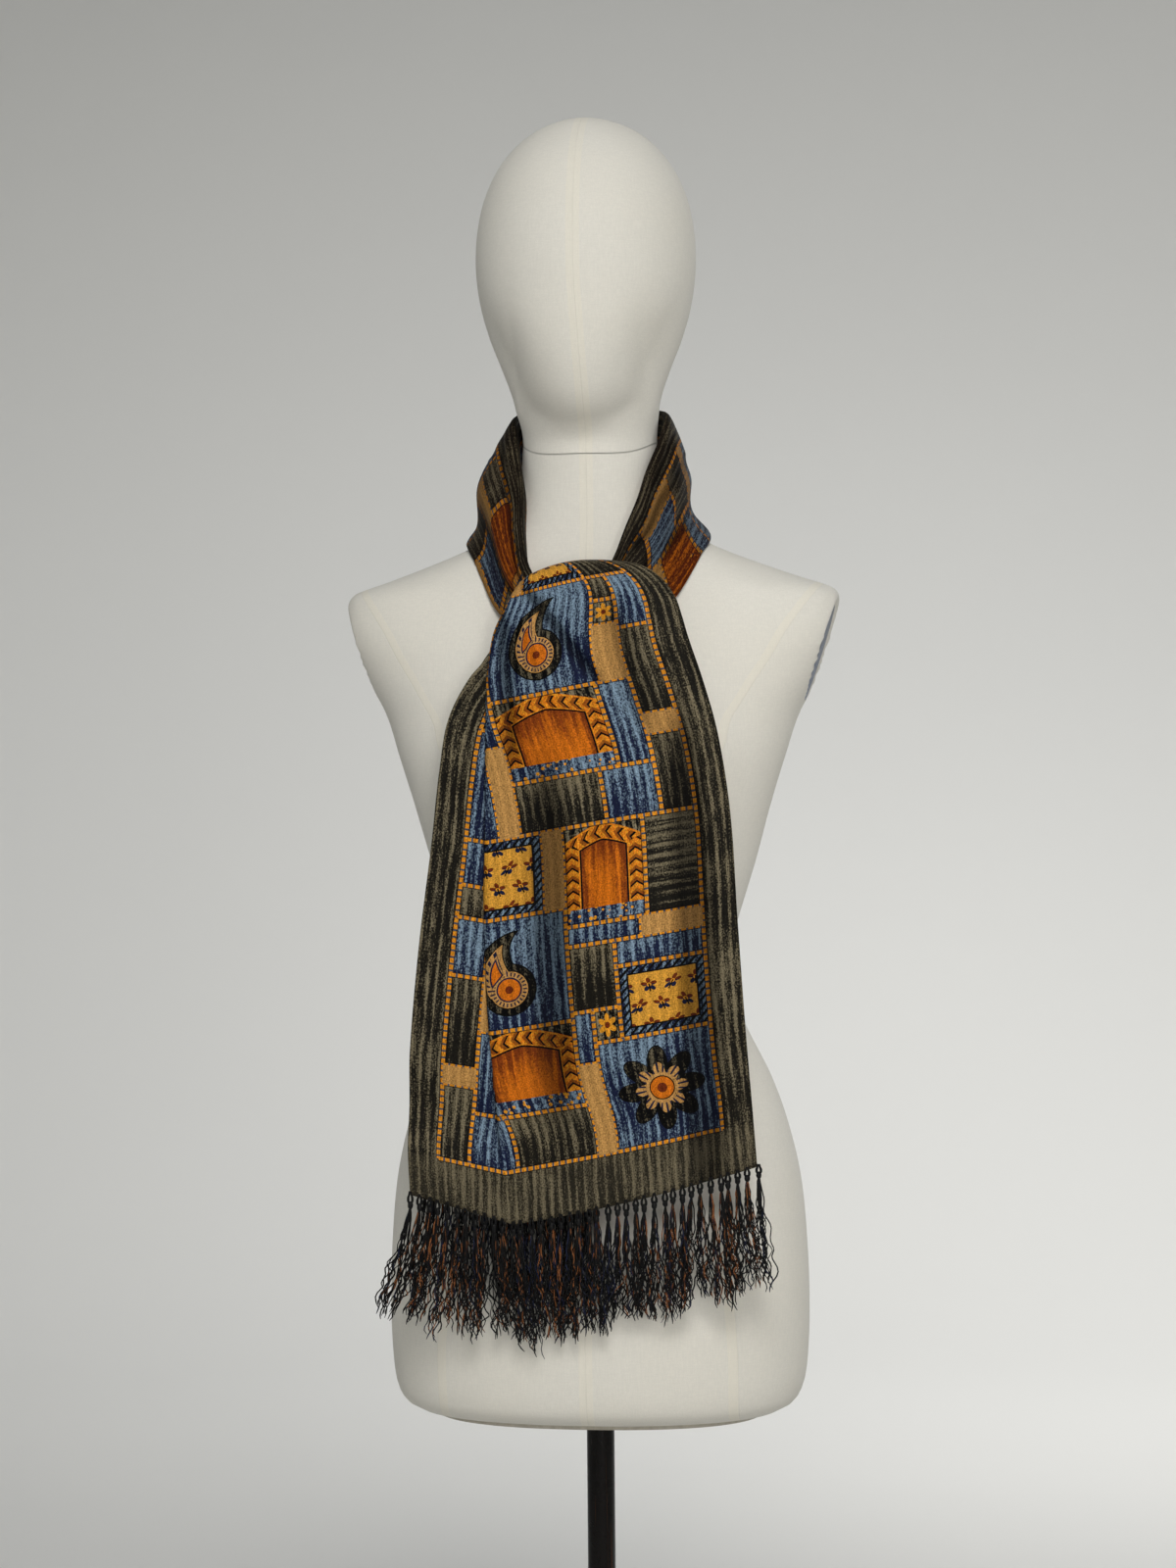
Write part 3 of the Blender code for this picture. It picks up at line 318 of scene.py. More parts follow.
PRINT = Layout(46, 50, [
    Patch(BLUE, ROSETTE, 0, 0, 17, 17),
    Patch(TAN, PLAIN, 17, 0, 3, 14),
    Patch(BLUE, PLAIN, 17, 14, 3, 8),
    Patch(DARK, PLAIN, 20, 0, 13, 8),
    Patch(BLUE, PLAIN, 33, 0, 8, 8),
    Patch(ORANGE, PLAIN, 20, 8, 16, 13),
    Patch(BLUE, PLAIN, 36, 8, 5, 13),
    Patch(DARK, PLAIN, 41, 0, 5, 12),
    Patch(TAN, PLAIN, 41, 12, 5, 3),
    Patch(DARK, PLAIN, 41, 15, 5, 14),
    Patch(MUSTARD, PLAIN, 0, 17, 13, 11),
    Patch(TILE, PLAIN, 13, 17, 4, 5),
    Patch(DARK, PLAIN, 13, 22, 7, 10),
    Patch(BLUE, PLAIN, 0, 28, 13, 4),
    Patch(TAN, PLAIN, 0, 32, 9, 3),
    Patch(BLUE, PLAIN, 9, 32, 11, 3),
    Patch(BLUE, PAISLEY, 20, 21, 17, 17),
    Patch(TAN, PLAIN, 37, 21, 4, 9),
    Patch(TILE, PLAIN, 37, 30, 4, 4),
    Patch(DARK, PLAIN, 37, 34, 4, 4),
    Patch(BLUE, PLAIN, 41, 29, 5, 9),
    Patch(DARK, CROSSWISE, 0, 35, 8, 15),
    Patch(ORANGE, PLAIN, 8, 35, 12, 15),
    Patch(TAN, PLAIN, 20, 38, 3, 12),
    Patch(MUSTARD, PLAIN, 23, 38, 14, 12),
    Patch(DARK, PLAIN, 37, 38, 9, 5),
    Patch(BLUE, PLAIN, 37, 43, 9, 7),
])
# The same for the smaller patches on the stretch round the neck.
WOUND_PRINT = Layout(18, 25, [
    Patch(DARK, PLAIN, 0, 0, 9, 6),
    Patch(TAN, PLAIN, 0, 6, 3, 7),
    Patch(BLUE, PLAIN, 3, 6, 6, 7),
    Patch(DARK, PLAIN, 0, 13, 9, 5),
    Patch(BLUE, PLAIN, 0, 18, 9, 7),
    Patch(BLUE, PLAIN, 9, 0, 9, 4),
    Patch(ORANGE, CROSSWISE, 9, 4, 9, 7),
    Patch(TAN, PLAIN, 9, 11, 4, 7),
    Patch(DARK, PLAIN, 13, 11, 5, 7),
    Patch(BLUE, PLAIN, 9, 18, 9, 5),
    Patch(TAN, PLAIN, 9, 23, 9, 2),
])
CREASE_SHADE_DEPTH = 0.0022        # painted shade: a crease's valley this deep is painted darkest
FAR = 0.5                    # a distance that keeps a patch's edge lines away


def linear(red, green, blue):
    """A colour as it looks on a screen, 0 to 255, as Blender's linear values."""
    return tuple(((c / 255.0 + 0.055) / 1.055) ** 2.4 if c > 10 else c / 3295.0
                 for c in (red, green, blue))


# ---- sizes and colours that a user would change -------------------------------------------------

def colour(name, words, default):
    return bpy.props.FloatVectorProperty(name=name, description=words, subtype="COLOR", size=3,
                                         min=0.0, max=1.0, default=default)


def length(name, words, default):
    return bpy.props.FloatProperty(name=name, description=words, subtype="DISTANCE",
                                   unit="LENGTH", min=0.0, precision=5, default=default)


class ScarfClothSettings(bpy.types.PropertyGroup):
    thickness: length("Thickness", "Both layers of the silk together", 0.0009)
    olive: colour("Olive", "Light streaks of the dark patches", linear(123, 113, 90))
    black: colour("Black", "Dark streaks of the dark patches", linear(8, 8, 8))
    steel: colour("Steel blue", "Light streaks of the blue patches", linear(117, 138, 156))
    navy: colour("Navy", "Dark streaks of the blue patches", linear(22, 29, 56))
    orange: colour("Orange", "Ground of the arched panels", linear(200, 106, 20))
    rust: colour("Rust", "Shaded streaks of the arched panels", linear(104, 42, 15))
    mustard: colour("Mustard", "Ground of the sprigged panels", linear(206, 148, 54))
    tan: colour("Tan", "Plain strips", linear(180, 135, 76))
    gold: colour("Gold", "Dashed lines between the patches", linear(216, 146, 38))
    tick: colour("Tick", "Small bars on the dashed lines", linear(66, 78, 92))


class ScarfFringeSettings(bpy.types.PropertyGroup):
    strands: bpy.props.IntProperty(name="Strands", description="Threads in each tassel",
                                   min=3, max=30, default=14)
    drop: length("Drop", "Length of the tassels below their knots", 0.086)
    thread: length("Thread", "Radius of one thread", 0.00053)
    black: colour("Black", "Most of the threads", linear(5, 5, 6))
    rust: colour("Rust", "Some of the threads", linear(138, 84, 46))
    navy: colour("Navy", "The rest of the threads", linear(24, 31, 58))


class ScarfFormSettings(bpy.types.PropertyGroup):
    linen: colour("Linen", "Cover of the torso and head", linear(227, 224, 215))
    metal: colour("Metal", "Pole and base", linear(10, 7, 6))
    seam: length("Seam", "Half width of the pressed band along a seam", 0.0052)


class ScarfStudioSettings(bpy.types.PropertyGroup):
    distance: length("Distance", "Camera to the form's upright axis", 2.60)
    height: length("Height", "Camera above the floor", 0.937)
    azimuth: bpy.props.FloatProperty(name="Azimuth", description="Camera's turn round the form",
                                     subtype="ANGLE", default=math.radians(7.0))
    roll: bpy.props.FloatProperty(name="Roll", description="Camera's turn about its own line",
                                  subtype="ANGLE", default=math.radians(0.5))
    lens: bpy.props.FloatProperty(name="Lens", description="Focal length", default=75.0, min=1.0)
    backdrop: colour("Backdrop", "Floor and wall", linear(238, 237, 233))


# ---- small tools --------------------------------------------------------------------------------

def as_vector(value):
    """A number or a short tuple as a vector, so that both blend in the same way."""
    if isinstance(value, (int, float)):
        return Vector((value, 0.0))
    return Vector(value)


def blend_rows(rows, column, at):
    """The smooth value of a table's column at a place along its first column."""
    keys = [row[0] for row in rows]
    values = [as_vector(getattr(row, column)) for row in rows]
    at = min(max(at, keys[0]), keys[-1])
    index = max(i for i in range(len(keys) - 1) if keys[i] <= at)
    span = keys[index + 1] - keys[index]
    share = (at - keys[index]) / span

    def slope(i):
        low, high = max(i - 1, 0), min(i + 1, len(keys) - 1)
        return (values[high] - values[low]) / (keys[high] - keys[low])

    square, cube = share * share, share * share * share
    return (values[index] * (2 * cube - 3 * square + 1)
            + slope(index) * span * (cube - 2 * square + share)
            + values[index + 1] * (3 * square - 2 * cube)
            + slope(index + 1) * span * (cube - square))


Stop = namedtuple("Stop", "reach place")


def smooth_line(points, steps):
    """The smooth curve through a few points, with a number of steps in each span."""
    reach = [0.0]
    for first, second in zip(points, points[1:]):
        reach.append(reach[-1] + (second - first).length)
    rows = [Stop(*pair) for pair in zip(reach, points)]
    places = [blend_rows(rows, "place", low + (high - low) * step / steps)
              for low, high in zip(reach, reach[1:]) for step in range(steps)]
    return places + [points[-1]]


def smooth_step(low, high, value):
    """Rises smoothly from 0 at low to 1 at high; low may be the larger of the two."""
    share = min(max((value - low) / (high - low), 0.0), 1.0)
    return share * share * (3.0 - 2.0 * share)


def evenly(points, count):
    """Points at even steps along a line through many points, its two ends included."""
    reach = [0.0]
    for first, second in zip(points, points[1:]):
        reach.append(reach[-1] + (second - first).length)
    spread, index = [], 0
    for step in range(count + 1):
        at = reach[-1] * step / count
        while index < len(points) - 2 and reach[index + 1] < at:
            index += 1
        part = (at - reach[index]) / max(reach[index + 1] - reach[index], 1e-9)
        spread.append(points[index].lerp(points[index + 1], min(part, 1.0)))
    return spread


def finished(name, bm, material, smooth_angle=40.0):
    """A bmesh as an object at the origin that rides on the part's one body."""
    mesh = bpy.data.meshes.new(name)
    bm.normal_update()
    bm.to_mesh(mesh)
    bm.free()
    mesh.materials.append(material)
    mesh.shade_smooth()
    mesh.set_sharp_from_angle(angle=math.radians(smooth_angle))
    item = bpy.data.objects.new(name, mesh)
    bpy.context.collection.objects.link(item)
    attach(item, "root")
    return item


# ---- materials ----------------------------------------------------------------------------------

class Graph:
    """A material under its Principled shader, with short calls for the nodes that feed it."""

    def __init__(self, name):
        self.material = bpy.data.materials.new(name)
        self.material.use_nodes = True
        self.tree = self.material.node_tree
        self.shader = self.tree.nodes["Principled BSDF"]

    def node(self, kind, **settings):
        node = self.tree.nodes.new(kind)
        for name, value in settings.items():
            setattr(node, name, value)
        return node

    def feed(self, socket, value):
        if isinstance(value, bpy.types.NodeSocket):
            self.tree.links.new(value, socket)
        elif socket.type == "RGBA":
            socket.default_value = (*value[:3], 1.0)
        else:
            socket.default_value = value

    def feed_all(self, sockets, values):
        for socket, value in zip(sockets, values):
            self.feed(socket, value)

    # numbers

    def math(self, operation, *values):
        node = self.node("ShaderNodeMath", operation=operation)
        self.feed_all(node.inputs, values)
        return node.outputs[0]

    def chain(self, operation, total, *values):
        for value in values:
            total = self.math(operation, total, value)
        return total

    def add(self, *values):
        return self.chain("ADD", *values)

    def times(self, *values):
        return self.chain("MULTIPLY", *values)

    def minus(self, first, second):
        return self.math("SUBTRACT", first, second)

    def over(self, first, second):
        return self.math("DIVIDE", first, second)

    def least(self, first, second):
        return self.math("MINIMUM", first, second)

    def most(self, first, second):
        return self.math("MAXIMUM", first, second)

    def plain(self, value):
        """A number without its sign."""
        return self.math("ABSOLUTE", value)

    def part(self, value):
        """What is left of a number above the whole one below it."""
        return self.math("FRACT", value)

    def about(self, share, amount):
        """A share from 0 to 1 as a number that swings to both sides of 0."""
        return self.times(self.add(share, -0.5), amount)

    def reach(self, x, y):
        """How far a place is from the middle."""
        return self.math("SQRT", self.add(self.times(x, x), self.times(y, y)))

    def angle(self, x, y):
        """The angle of a place round the middle, from the y axis."""
        return self.math("ARCTAN2", x, y)

    def pick(self, mask, otherwise, value):
        """A number that is value where the mask is 1."""
        node = self.node("ShaderNodeMix", data_type="FLOAT")
        self.feed_all((node.inputs[0], node.inputs[2], node.inputs[3]),
                      (mask, otherwise, value))
        return node.outputs[0]

    # masks, from 0 to 1

    def less(self, value, limit):
        return self.math("LESS_THAN", value, limit)

    def within(self, low, value, high):
        """Where the value lies between two limits."""
        return self.both(self.less(low, value), self.less(value, high))

    def near(self, value, at, reach):
        """Where the value is no further from a number than its reach."""
        return self.less(self.plain(self.add(value, -at)), reach)

    def both(self, *masks):
        return self.times(*masks)

    def off(self, mask):
        """Where the mask is not."""
        return self.minus(1.0, mask)

    def step(self, value, low, high):
        """A soft mask that rises from 0 to 1 between two limits."""
        node = self.node("ShaderNodeMapRange", interpolation_type="SMOOTHSTEP")
        self.feed_all(node.inputs, (value, low, high, 0.0, 1.0))
        return node.outputs[0]

    def is_kind(self, kind, number):
        return self.math("COMPARE", kind, float(number), 0.5)

    # colours

    def tint(self, mask, otherwise, value):
        """A colour that is value where the mask is 1."""
        node = self.node("ShaderNodeMix", data_type="RGBA")
        self.feed_all((node.inputs[0], node.inputs[6], node.inputs[7]),
                      (mask, otherwise, value))
        return node.outputs[2]

    def paint(self, ground, shade, *masks):
        """The ground with a colour laid over it where all the masks are 1."""
        return self.tint(self.both(*masks), ground, shade)

    def scaled(self, shade, factor):
        """A colour made lighter or darker by a factor."""
        node = self.node("ShaderNodeVectorMath", operation="SCALE")
        self.feed(node.inputs[0], shade)
        self.feed(node.inputs["Scale"], factor)
        return node.outputs[0]

    def steps(self, value, colours):
        """The colour that a dict gives for a whole number."""
        node = self.node("ShaderNodeValToRGB")
        ramp = node.color_ramp
        ramp.interpolation = "CONSTANT"
        count = max(colours) + 1
        while len(ramp.elements) < len(colours):
            ramp.elements.new(1.0)
        for element, (number, shade) in zip(ramp.elements, sorted(colours.items())):
            element.position = number / count
            element.color = (*shade, 1.0)
        self.feed(node.inputs[0], self.times(self.add(value, 0.5), 1.0 / count))
        return node.outputs[0]

    # places and patterns

    def split(self, vector):
        node = self.node("ShaderNodeSeparateXYZ")
        self.feed(node.inputs[0], vector)
        return node.outputs[0], node.outputs[1], node.outputs[2]

    def vector(self, x, y, z=0.0):
        node = self.node("ShaderNodeCombineXYZ")
        self.feed_all(node.inputs, (x, y, z))
        return node.outputs[0]

    def attribute(self, name, output="Vector"):
        return self.node("ShaderNodeAttribute", attribute_name=name).outputs[output]

    def uv(self, name):
        return self.node("ShaderNodeUVMap", uv_map=name).outputs[0]

    def object_place(self):
        return self.node("ShaderNodeTexCoord").outputs["Object"]

    def noise(self, vector, scale=1.0, detail=2.0):
        node = self.node("ShaderNodeTexNoise")
        self.feed(node.inputs["Vector"], vector)
        node.inputs["Scale"].default_value = scale
        node.inputs["Detail"].default_value = detail
        return node.outputs["Fac"]

    def drawn_noise(self, place, cells, detail=1.0):
        """Noise with its own number of cells a metre along each axis of a place."""
        scaled = [self.times(at, count) for at, count in zip(place, cells)]
        return self.noise(self.vector(*scaled, *place[len(cells):]), 1.0, detail)

    def bump(self, height, distance, strength):
        node = self.node("ShaderNodeBump")
        node.inputs["Strength"].default_value = strength
        node.inputs["Distance"].default_value = distance
        self.feed(node.inputs["Height"], height)
        self.tree.links.new(node.outputs[0], self.shader.inputs["Normal"])

    def surface(self, **values):
        for name, value in values.items():
            self.feed(self.shader.inputs[name.replace("_", " ").title()], value)

    def specular(self, level):
        self.shader.inputs["Specular IOR Level"].default_value = level


# ---- the printed silk ---------------------------------------------------------------------------

# Cells a metre of the dye's and the weave's noise, across the cloth and along it.
WANDER = (40.0, 9.0)
STREAK = (380.0, 26.0)
HAIR = (950.0, 70.0)
GRAIN = (1000.0, 640.0)
CLOUD = (22.0, 22.0)
SLUB = (1100.0, 190.0)
PITS = (950.0, 800.0)
LAYER = 5.3                  # between the noise of one kind of patch and the next
STRIPE_PITCH = 0.0072        # between the satin stripes
FRAME = 0.0130               # width of an arched panel's frame
FRAME_LINE = 0.0007
ARCH_RISE = 0.0130
ARCH_CURVE = 1.35
CHEVRON_PITCH = 0.0086
FOOT = 0.0120                # height of the flecked foot
FLECKS = 210.0               # cells a metre
SPRIG_WIDTH = 0.0170
SPRIG_HEIGHT = 0.0150
LEAF_BAND = 0.0075           # width of a sprigged panel's frame
LEAF_PITCH = 0.0060
ROSETTE_PETALS = 8.0
ROSETTE_REACH = 0.0325
PAISLEY_EYE = (0.0019, -0.0119)  # from the middle of its patch
PAISLEY_HEAD = 0.020         # radius
LACE_BARS = 26.0
DASH_PITCH = 0.0052
DASH_SHARE = 0.30
LINE = 0.0014                # half the width of a dashed line
LINE_SHADOW = 0.0022
NECK_SHADE_SPAN = (0.58, 0.85)        # along the print: where the painted shade of the stretch round the neck comes in

Spot = namedtuple("Spot", "u v x y kind width height motif to_side to_end to_edge")
Dye = namedtuple("Dye", "level light streak grain wander")


def spot_on_cloth(g):
    """The place on the cloth and in its patch, and how far it is from the patch's edges."""
    u, v, _ = g.split(g.uv("cloth"))
    x, y, kind = g.split(g.attribute("patch"))
    width, height, motif = g.split(g.attribute("patch_size"))
    to_side, to_end = g.least(x, g.minus(width, x)), g.least(y, g.minus(height, y))
    return Spot(u, v, x, y, kind, width, height, motif, to_side, to_end,
                g.least(to_side, to_end))


def petals(g, angle, count, low):
    """How far a flower reaches at an angle, from low between the petals to 1 at their tips."""
    wave = g.plain(g.math("COSINE", g.times(angle, count / 2.0)))
    return g.add(g.times(wave, 1.0 - low), low)


def spokes(g, angle, count, share):
    """A mask of even spokes round a middle."""
    return g.less(g.part(g.times(angle, count / (2.0 * math.pi))), share)


def satin_stripe(g, across, wander):
    """Narrow light stripes between broad dark ones, from -1 to 1, that wander a little."""
    place = g.add(g.times(across, 1.0 / STRIPE_PITCH), g.times(wander, 0.9))
    wave = g.add(g.times(g.math("SINE", g.times(place, 2.0 * math.pi)), 0.5), 0.5)
    return g.add(g.times(g.math("POWER", wave, 2.2), 2.0), -1.0)


def streaked_ground(g, cloth, at):
    """Streaks dyed along the cloth, or across it in some dark patches, calmer in the border."""
    dark, blue, edge = (g.is_kind(at.kind, kind) for kind in (DARK, BLUE, EDGE))
    in_hem = g.both(edge, g.less(at.v, END_BORDER))
    crosswise = g.both(dark, g.is_kind(at.motif, CROSSWISE))
    across, along = g.pick(crosswise, at.u, at.v), g.pick(crosswise, at.v, at.u)
    layer = g.times(at.kind, LAYER)
    drawn, square = (across, along, layer), (at.u, at.v, layer)
    wander, hair = g.drawn_noise(drawn, WANDER), g.drawn_noise(drawn, HAIR)
    streak, cloud = g.drawn_noise(drawn, STREAK, 2.0), g.drawn_noise(square, CLOUD, 2.0)
    grain = g.drawn_noise(square, GRAIN)
    level = g.add(
        g.times(satin_stripe(g, across, wander), 0.16), g.times(dark, -0.04),
        g.about(streak, 1.00), g.about(hair, 0.80), g.about(grain, 1.30), g.about(cloud, 0.70),
        g.about(g.over(at.y, at.height), g.add(g.times(dark, 0.42), g.times(blue, 0.30))),
        g.times(edge, g.pick(in_hem, -0.07, 0.03)))
    light = g.step(level, -0.22, 0.28)
    low, high = (g.steps(at.kind, {kind: getattr(cloth, names[end])
                                   for kind, names in STREAK_DYES.items()}) for end in (0, 1))
    calm = g.pick(in_hem, g.times(g.add(edge, dark), 0.16), 0.40)
    ground = g.tint(calm, g.tint(light, low, high), linear(64, 59, 47))
    return ground, Dye(level, light, streak, grain, wander)


def arched_panels(g, cloth, at, dye, ground):
    """Orange panels: a chevron frame, a dark corner above the arch and a flecked foot."""
    orange = g.both(g.is_kind(at.kind, ORANGE), g.off(g.is_kind(at.motif, CROSSWISE)))
    bow = g.plain(g.minus(g.times(g.over(at.x, at.width), 2.0), 1.0))
    arch = g.minus(at.height, g.times(g.math("POWER", bow, ARCH_CURVE), ARCH_RISE))
    to_arch = g.minus(arch, at.y)
    above = g.both(orange, g.less(to_arch, 0.0))
    to_frame = g.least(at.to_side, to_arch)
    in_frame = g.both(orange, g.less(to_frame, FRAME), g.off(above))

    rough = g.add(g.about(dye.streak, 0.060), g.about(dye.grain, 0.030))
    shaded = g.most(g.step(g.add(to_arch, rough), 0.042, 0.012),
                    g.step(g.add(at.to_side, g.times(rough, 0.5)), 0.024, 0.011))
    panel = g.tint(g.times(shaded, 0.90), cloth.orange, cloth.rust)
    ground = g.paint(ground, panel, orange, g.less(FRAME, to_frame))
    ground = g.paint(ground, g.tint(dye.light, cloth.black, cloth.olive), above)

    run = g.pick(g.less(at.to_side, to_arch), at.x, at.y)
    middle = g.plain(g.minus(g.times(to_frame, 1.0 / FRAME), 0.5))
    chevron = g.part(g.add(g.times(run, 1.0 / CHEVRON_PITCH), g.times(middle, 1.15)))
    in_row = g.both(in_frame, g.less(middle, 0.38))
    worn = g.tint(g.step(dye.grain, 0.35, 0.65), cloth.orange, cloth.gold)
    ground = g.paint(ground, worn, in_frame)
    ground = g.paint(ground, cloth.rust, in_row, g.within(0.20, chevron, 0.50), 0.75)
    ground = g.paint(ground, cloth.black, in_row, g.less(chevron, 0.20))
    ground = g.paint(ground, cloth.black, orange, g.near(to_frame, FRAME, FRAME_LINE),
                     g.off(above))

    cells = g.node("ShaderNodeTexVoronoi")
    g.feed(cells.inputs["Vector"], g.vector(g.times(at.u, FLECKS), g.times(at.v, FLECKS)))
    cells.inputs["Scale"].default_value = 1.0
    flecked = g.tint(g.less(cells.outputs["Distance"], 0.30),
                     g.tint(dye.light, cloth.navy, cloth.steel), cloth.gold)
    return g.paint(ground, flecked, orange, g.less(at.y, FOOT))


def sprigged_panels(g, cloth, at, dye, ground):
    """Mustard panels: rows of leaning sprigs, in a blue frame with leaves."""
    mustard = g.is_kind(at.kind, MUSTARD)
    up = g.times(at.y, 1.0 / SPRIG_HEIGHT)
    row = g.math("FLOOR", up)
    aside = g.add(g.times(at.x, 1.0 / SPRIG_WIDTH), g.times(row, 0.5))
    turned_by = g.add(g.times(row, 2.3), g.times(g.math("FLOOR", aside), 1.7))
    cell_y = g.add(g.part(up), -0.5)
    lean_x = g.add(g.add(g.part(aside), -0.5),
                   g.times(cell_y, g.times(g.math("SINE", turned_by), 0.5)))
    reach, turn = g.reach(lean_x, cell_y), g.angle(lean_x, cell_y)
    bloom = g.less(reach, g.times(petals(g, turn, 5.0, 0.30), 0.36))
    ground = g.paint(ground, g.tint(g.less(0.02, cell_y), cloth.navy, cloth.rust), mustard,
                     bloom)
    ground = g.paint(ground, cloth.gold, mustard, g.less(reach, 0.10))
    ground = g.paint(ground, cloth.black, mustard, g.less(g.plain(lean_x), 0.035),
                     g.within(-0.36, cell_y, 0.05))

    leaf = g.part(g.add(g.times(g.add(at.u, at.v), 1.0 / LEAF_PITCH), g.times(dye.grain, 0.25)))
    leafy = g.tint(g.less(leaf, 0.42), g.tint(dye.light, cloth.navy, cloth.steel), cloth.black)
    ground = g.paint(ground, leafy, mustard, g.less(at.to_edge, LEAF_BAND))
    return g.paint(ground, cloth.black, mustard, g.near(at.to_edge, LEAF_BAND, 0.0006))


def flower_tiles(g, cloth, at, dye, ground):
    """A small flower on each tile."""
    tile = g.is_kind(at.kind, TILE)
    place = (g.add(g.over(at.x, at.width), -0.5), g.add(g.over(at.y, at.height), -0.5))
    reach, turn = g.reach(*place), g.angle(*place)
    ground = g.paint(ground, g.tint(dye.light, cloth.black, cloth.olive), tile)
    flower = g.less(reach, g.times(petals(g, turn, 6.0, 0.4), 0.36))
    ground = g.paint(ground, cloth.gold, tile, flower)
    return g.paint(ground, cloth.rust, tile, g.less(reach, 0.10))


def from_middle(g, at):
    """The place from the middle of its patch."""
    return g.minus(at.x, g.times(at.width, 0.5)), g.minus(at.y, g.times(at.height, 0.5))


def dark_body(g, cloth, dye):
    """The streaked dark ground inside a large motif."""
    return g.scaled(g.tint(g.step(dye.level, -0.10, 0.40), cloth.black, cloth.olive), 0.55)


def rosettes(g, cloth, at, dye, ground):
    """A large flower in nested rings on some blue patches."""
    rosette = g.both(g.is_kind(at.kind, BLUE), g.is_kind(at.motif, ROSETTE))
    place = from_middle(g, at)
    far, turn = g.reach(*place), g.angle(*place)
    petal = petals(g, turn, ROSETTE_PETALS, 0.58)
    tip = g.times(petal, ROSETTE_REACH)
    vein = g.less(g.plain(g.math("SINE", g.times(turn, ROSETTE_PETALS / 2.0))), 0.10)
    ring = g.less(far, g.times(petal, 0.0200))
    for shade, *masks in (
            (cloth.black, g.less(far, g.add(tip, 0.0008))),
            (dark_body(g, cloth, dye), g.less(far, g.add(tip, -0.0004))),
            (cloth.black, vein, g.less(far, 0.0280)),
            (cloth.tan, ring),
            (cloth.navy, ring, spokes(g, turn, 24.0, 0.36), g.less(0.0120, far)),
            (cloth.black, g.less(far, 0.0095)),
            (cloth.orange, g.less(far, 0.0086)),
            (cloth.rust, g.less(far, 0.0038))):
        ground = g.paint(ground, shade, rosette, *masks)
    return ground


def paisleys(g, cloth, at, dye, ground):
    """A disc with a tail that curls over, in nested bands, on some blue patches."""
    paisley = g.both(g.is_kind(at.kind, BLUE), g.is_kind(at.motif, PAISLEY))
    mid_x, mid_y = from_middle(g, at)

    def seen_from(centre):
        return g.add(mid_x, -centre[0]), g.add(mid_y, -centre[1])

    def disc(centre, radius):
        """How far outside a disc the place is."""
        return g.add(g.reach(*seen_from(centre)), -radius)

    tail = g.most(disc((-0.008, -0.002), 0.034), g.times(disc((-0.022, 0.016), 0.021), -1.0))
    tail = g.most(tail, g.times(g.add(mid_x, mid_y, 0.010), -0.707))
    depth = g.times(g.least(disc(PAISLEY_EYE, PAISLEY_HEAD), tail), -1.0)
    for limit, shade in ((0.0, cloth.black), (0.0011, dark_body(g, cloth, dye)),
                         (0.0054, cloth.black), (0.0062, cloth.tan), (0.0106, cloth.navy),
                         (0.0118, cloth.orange), (0.0170, cloth.rust)):
        ground = g.paint(ground, shade, paisley, g.less(limit, depth))
    bars = spokes(g, g.angle(*seen_from(PAISLEY_EYE)), LACE_BARS, 0.40)
    return g.paint(ground, cloth.navy, paisley, bars, g.within(0.0070, depth, 0.0098))


def dashed_lines(g, cloth, at, dye, ground):
    """Dashed lines between the patches, with a dark thread line beside them."""
    marked = g.off(g.is_kind(at.kind, TAN))
    line = g.both(g.less(at.to_edge, LINE), marked)
    ground = g.paint(ground, cloth.black, g.less(at.to_edge, LINE_SHADOW), g.off(line), marked,
                     0.80)
    run = g.pick(g.less(at.to_side, at.to_end), at.u, at.v)
    dash = g.less(g.part(g.times(run, 1.0 / DASH_PITCH)), DASH_SHARE)
    worn = g.tint(g.times(g.step(dye.grain, 0.60, 0.35), 0.6), cloth.gold, cloth.orange)
    return g.paint(ground, g.tint(dash, worn, cloth.tick), line)


def make_silk(cloth):
    """The printed silk: the streaked patches with their motifs, then the grain over them."""
    g = Graph("Printed silk")
    at = spot_on_cloth(g)
    ground, dye = streaked_ground(g, cloth, at)
    for motif in (arched_panels, sprigged_panels, flower_tiles, rosettes, paisleys,
                  dashed_lines):
        ground = motif(g, cloth, at, dye, ground)

    # slubs along the silk, fine pits between its threads and satin stripes
    slub = g.drawn_noise((at.u, at.v), SLUB, 2.0)
    pits = g.drawn_noise((at.u, at.v, 3.0), PITS)
    satin = satin_stripe(g, at.u, dye.wander)
    ground = g.scaled(ground, g.add(-0.41, g.times(slub, 1.00), g.times(pits, 1.70),
                                    g.times(satin, 0.12)))
    # painted shade: darker and warmer along the stretch round the neck, towards the middle of the
    # cloth, and darker in the creases' valleys
    neck_shade = g.step(at.v, *NECK_SHADE_SPAN)
    ground = g.scaled(ground, g.off(g.times(neck_shade, 0.46)))
    ground = g.paint(ground, linear(44, 24, 8), neck_shade, 0.12)
    # painted shade in the creases' valleys
    ground = g.scaled(ground, g.off(g.times(g.attribute("hollow", "Fac"), 0.70)))
    g.bump(g.add(g.times(slub, 0.4), g.times(pits, 0.3), g.times(satin, 0.6)), 0.00030, 0.5)
    g.surface(base_color=ground, roughness=0.62, sheen_weight=0.01, sheen_roughness=0.45)
    g.specular(0.05)
    return g.material


# ---- the other materials ------------------------------------------------------------------------

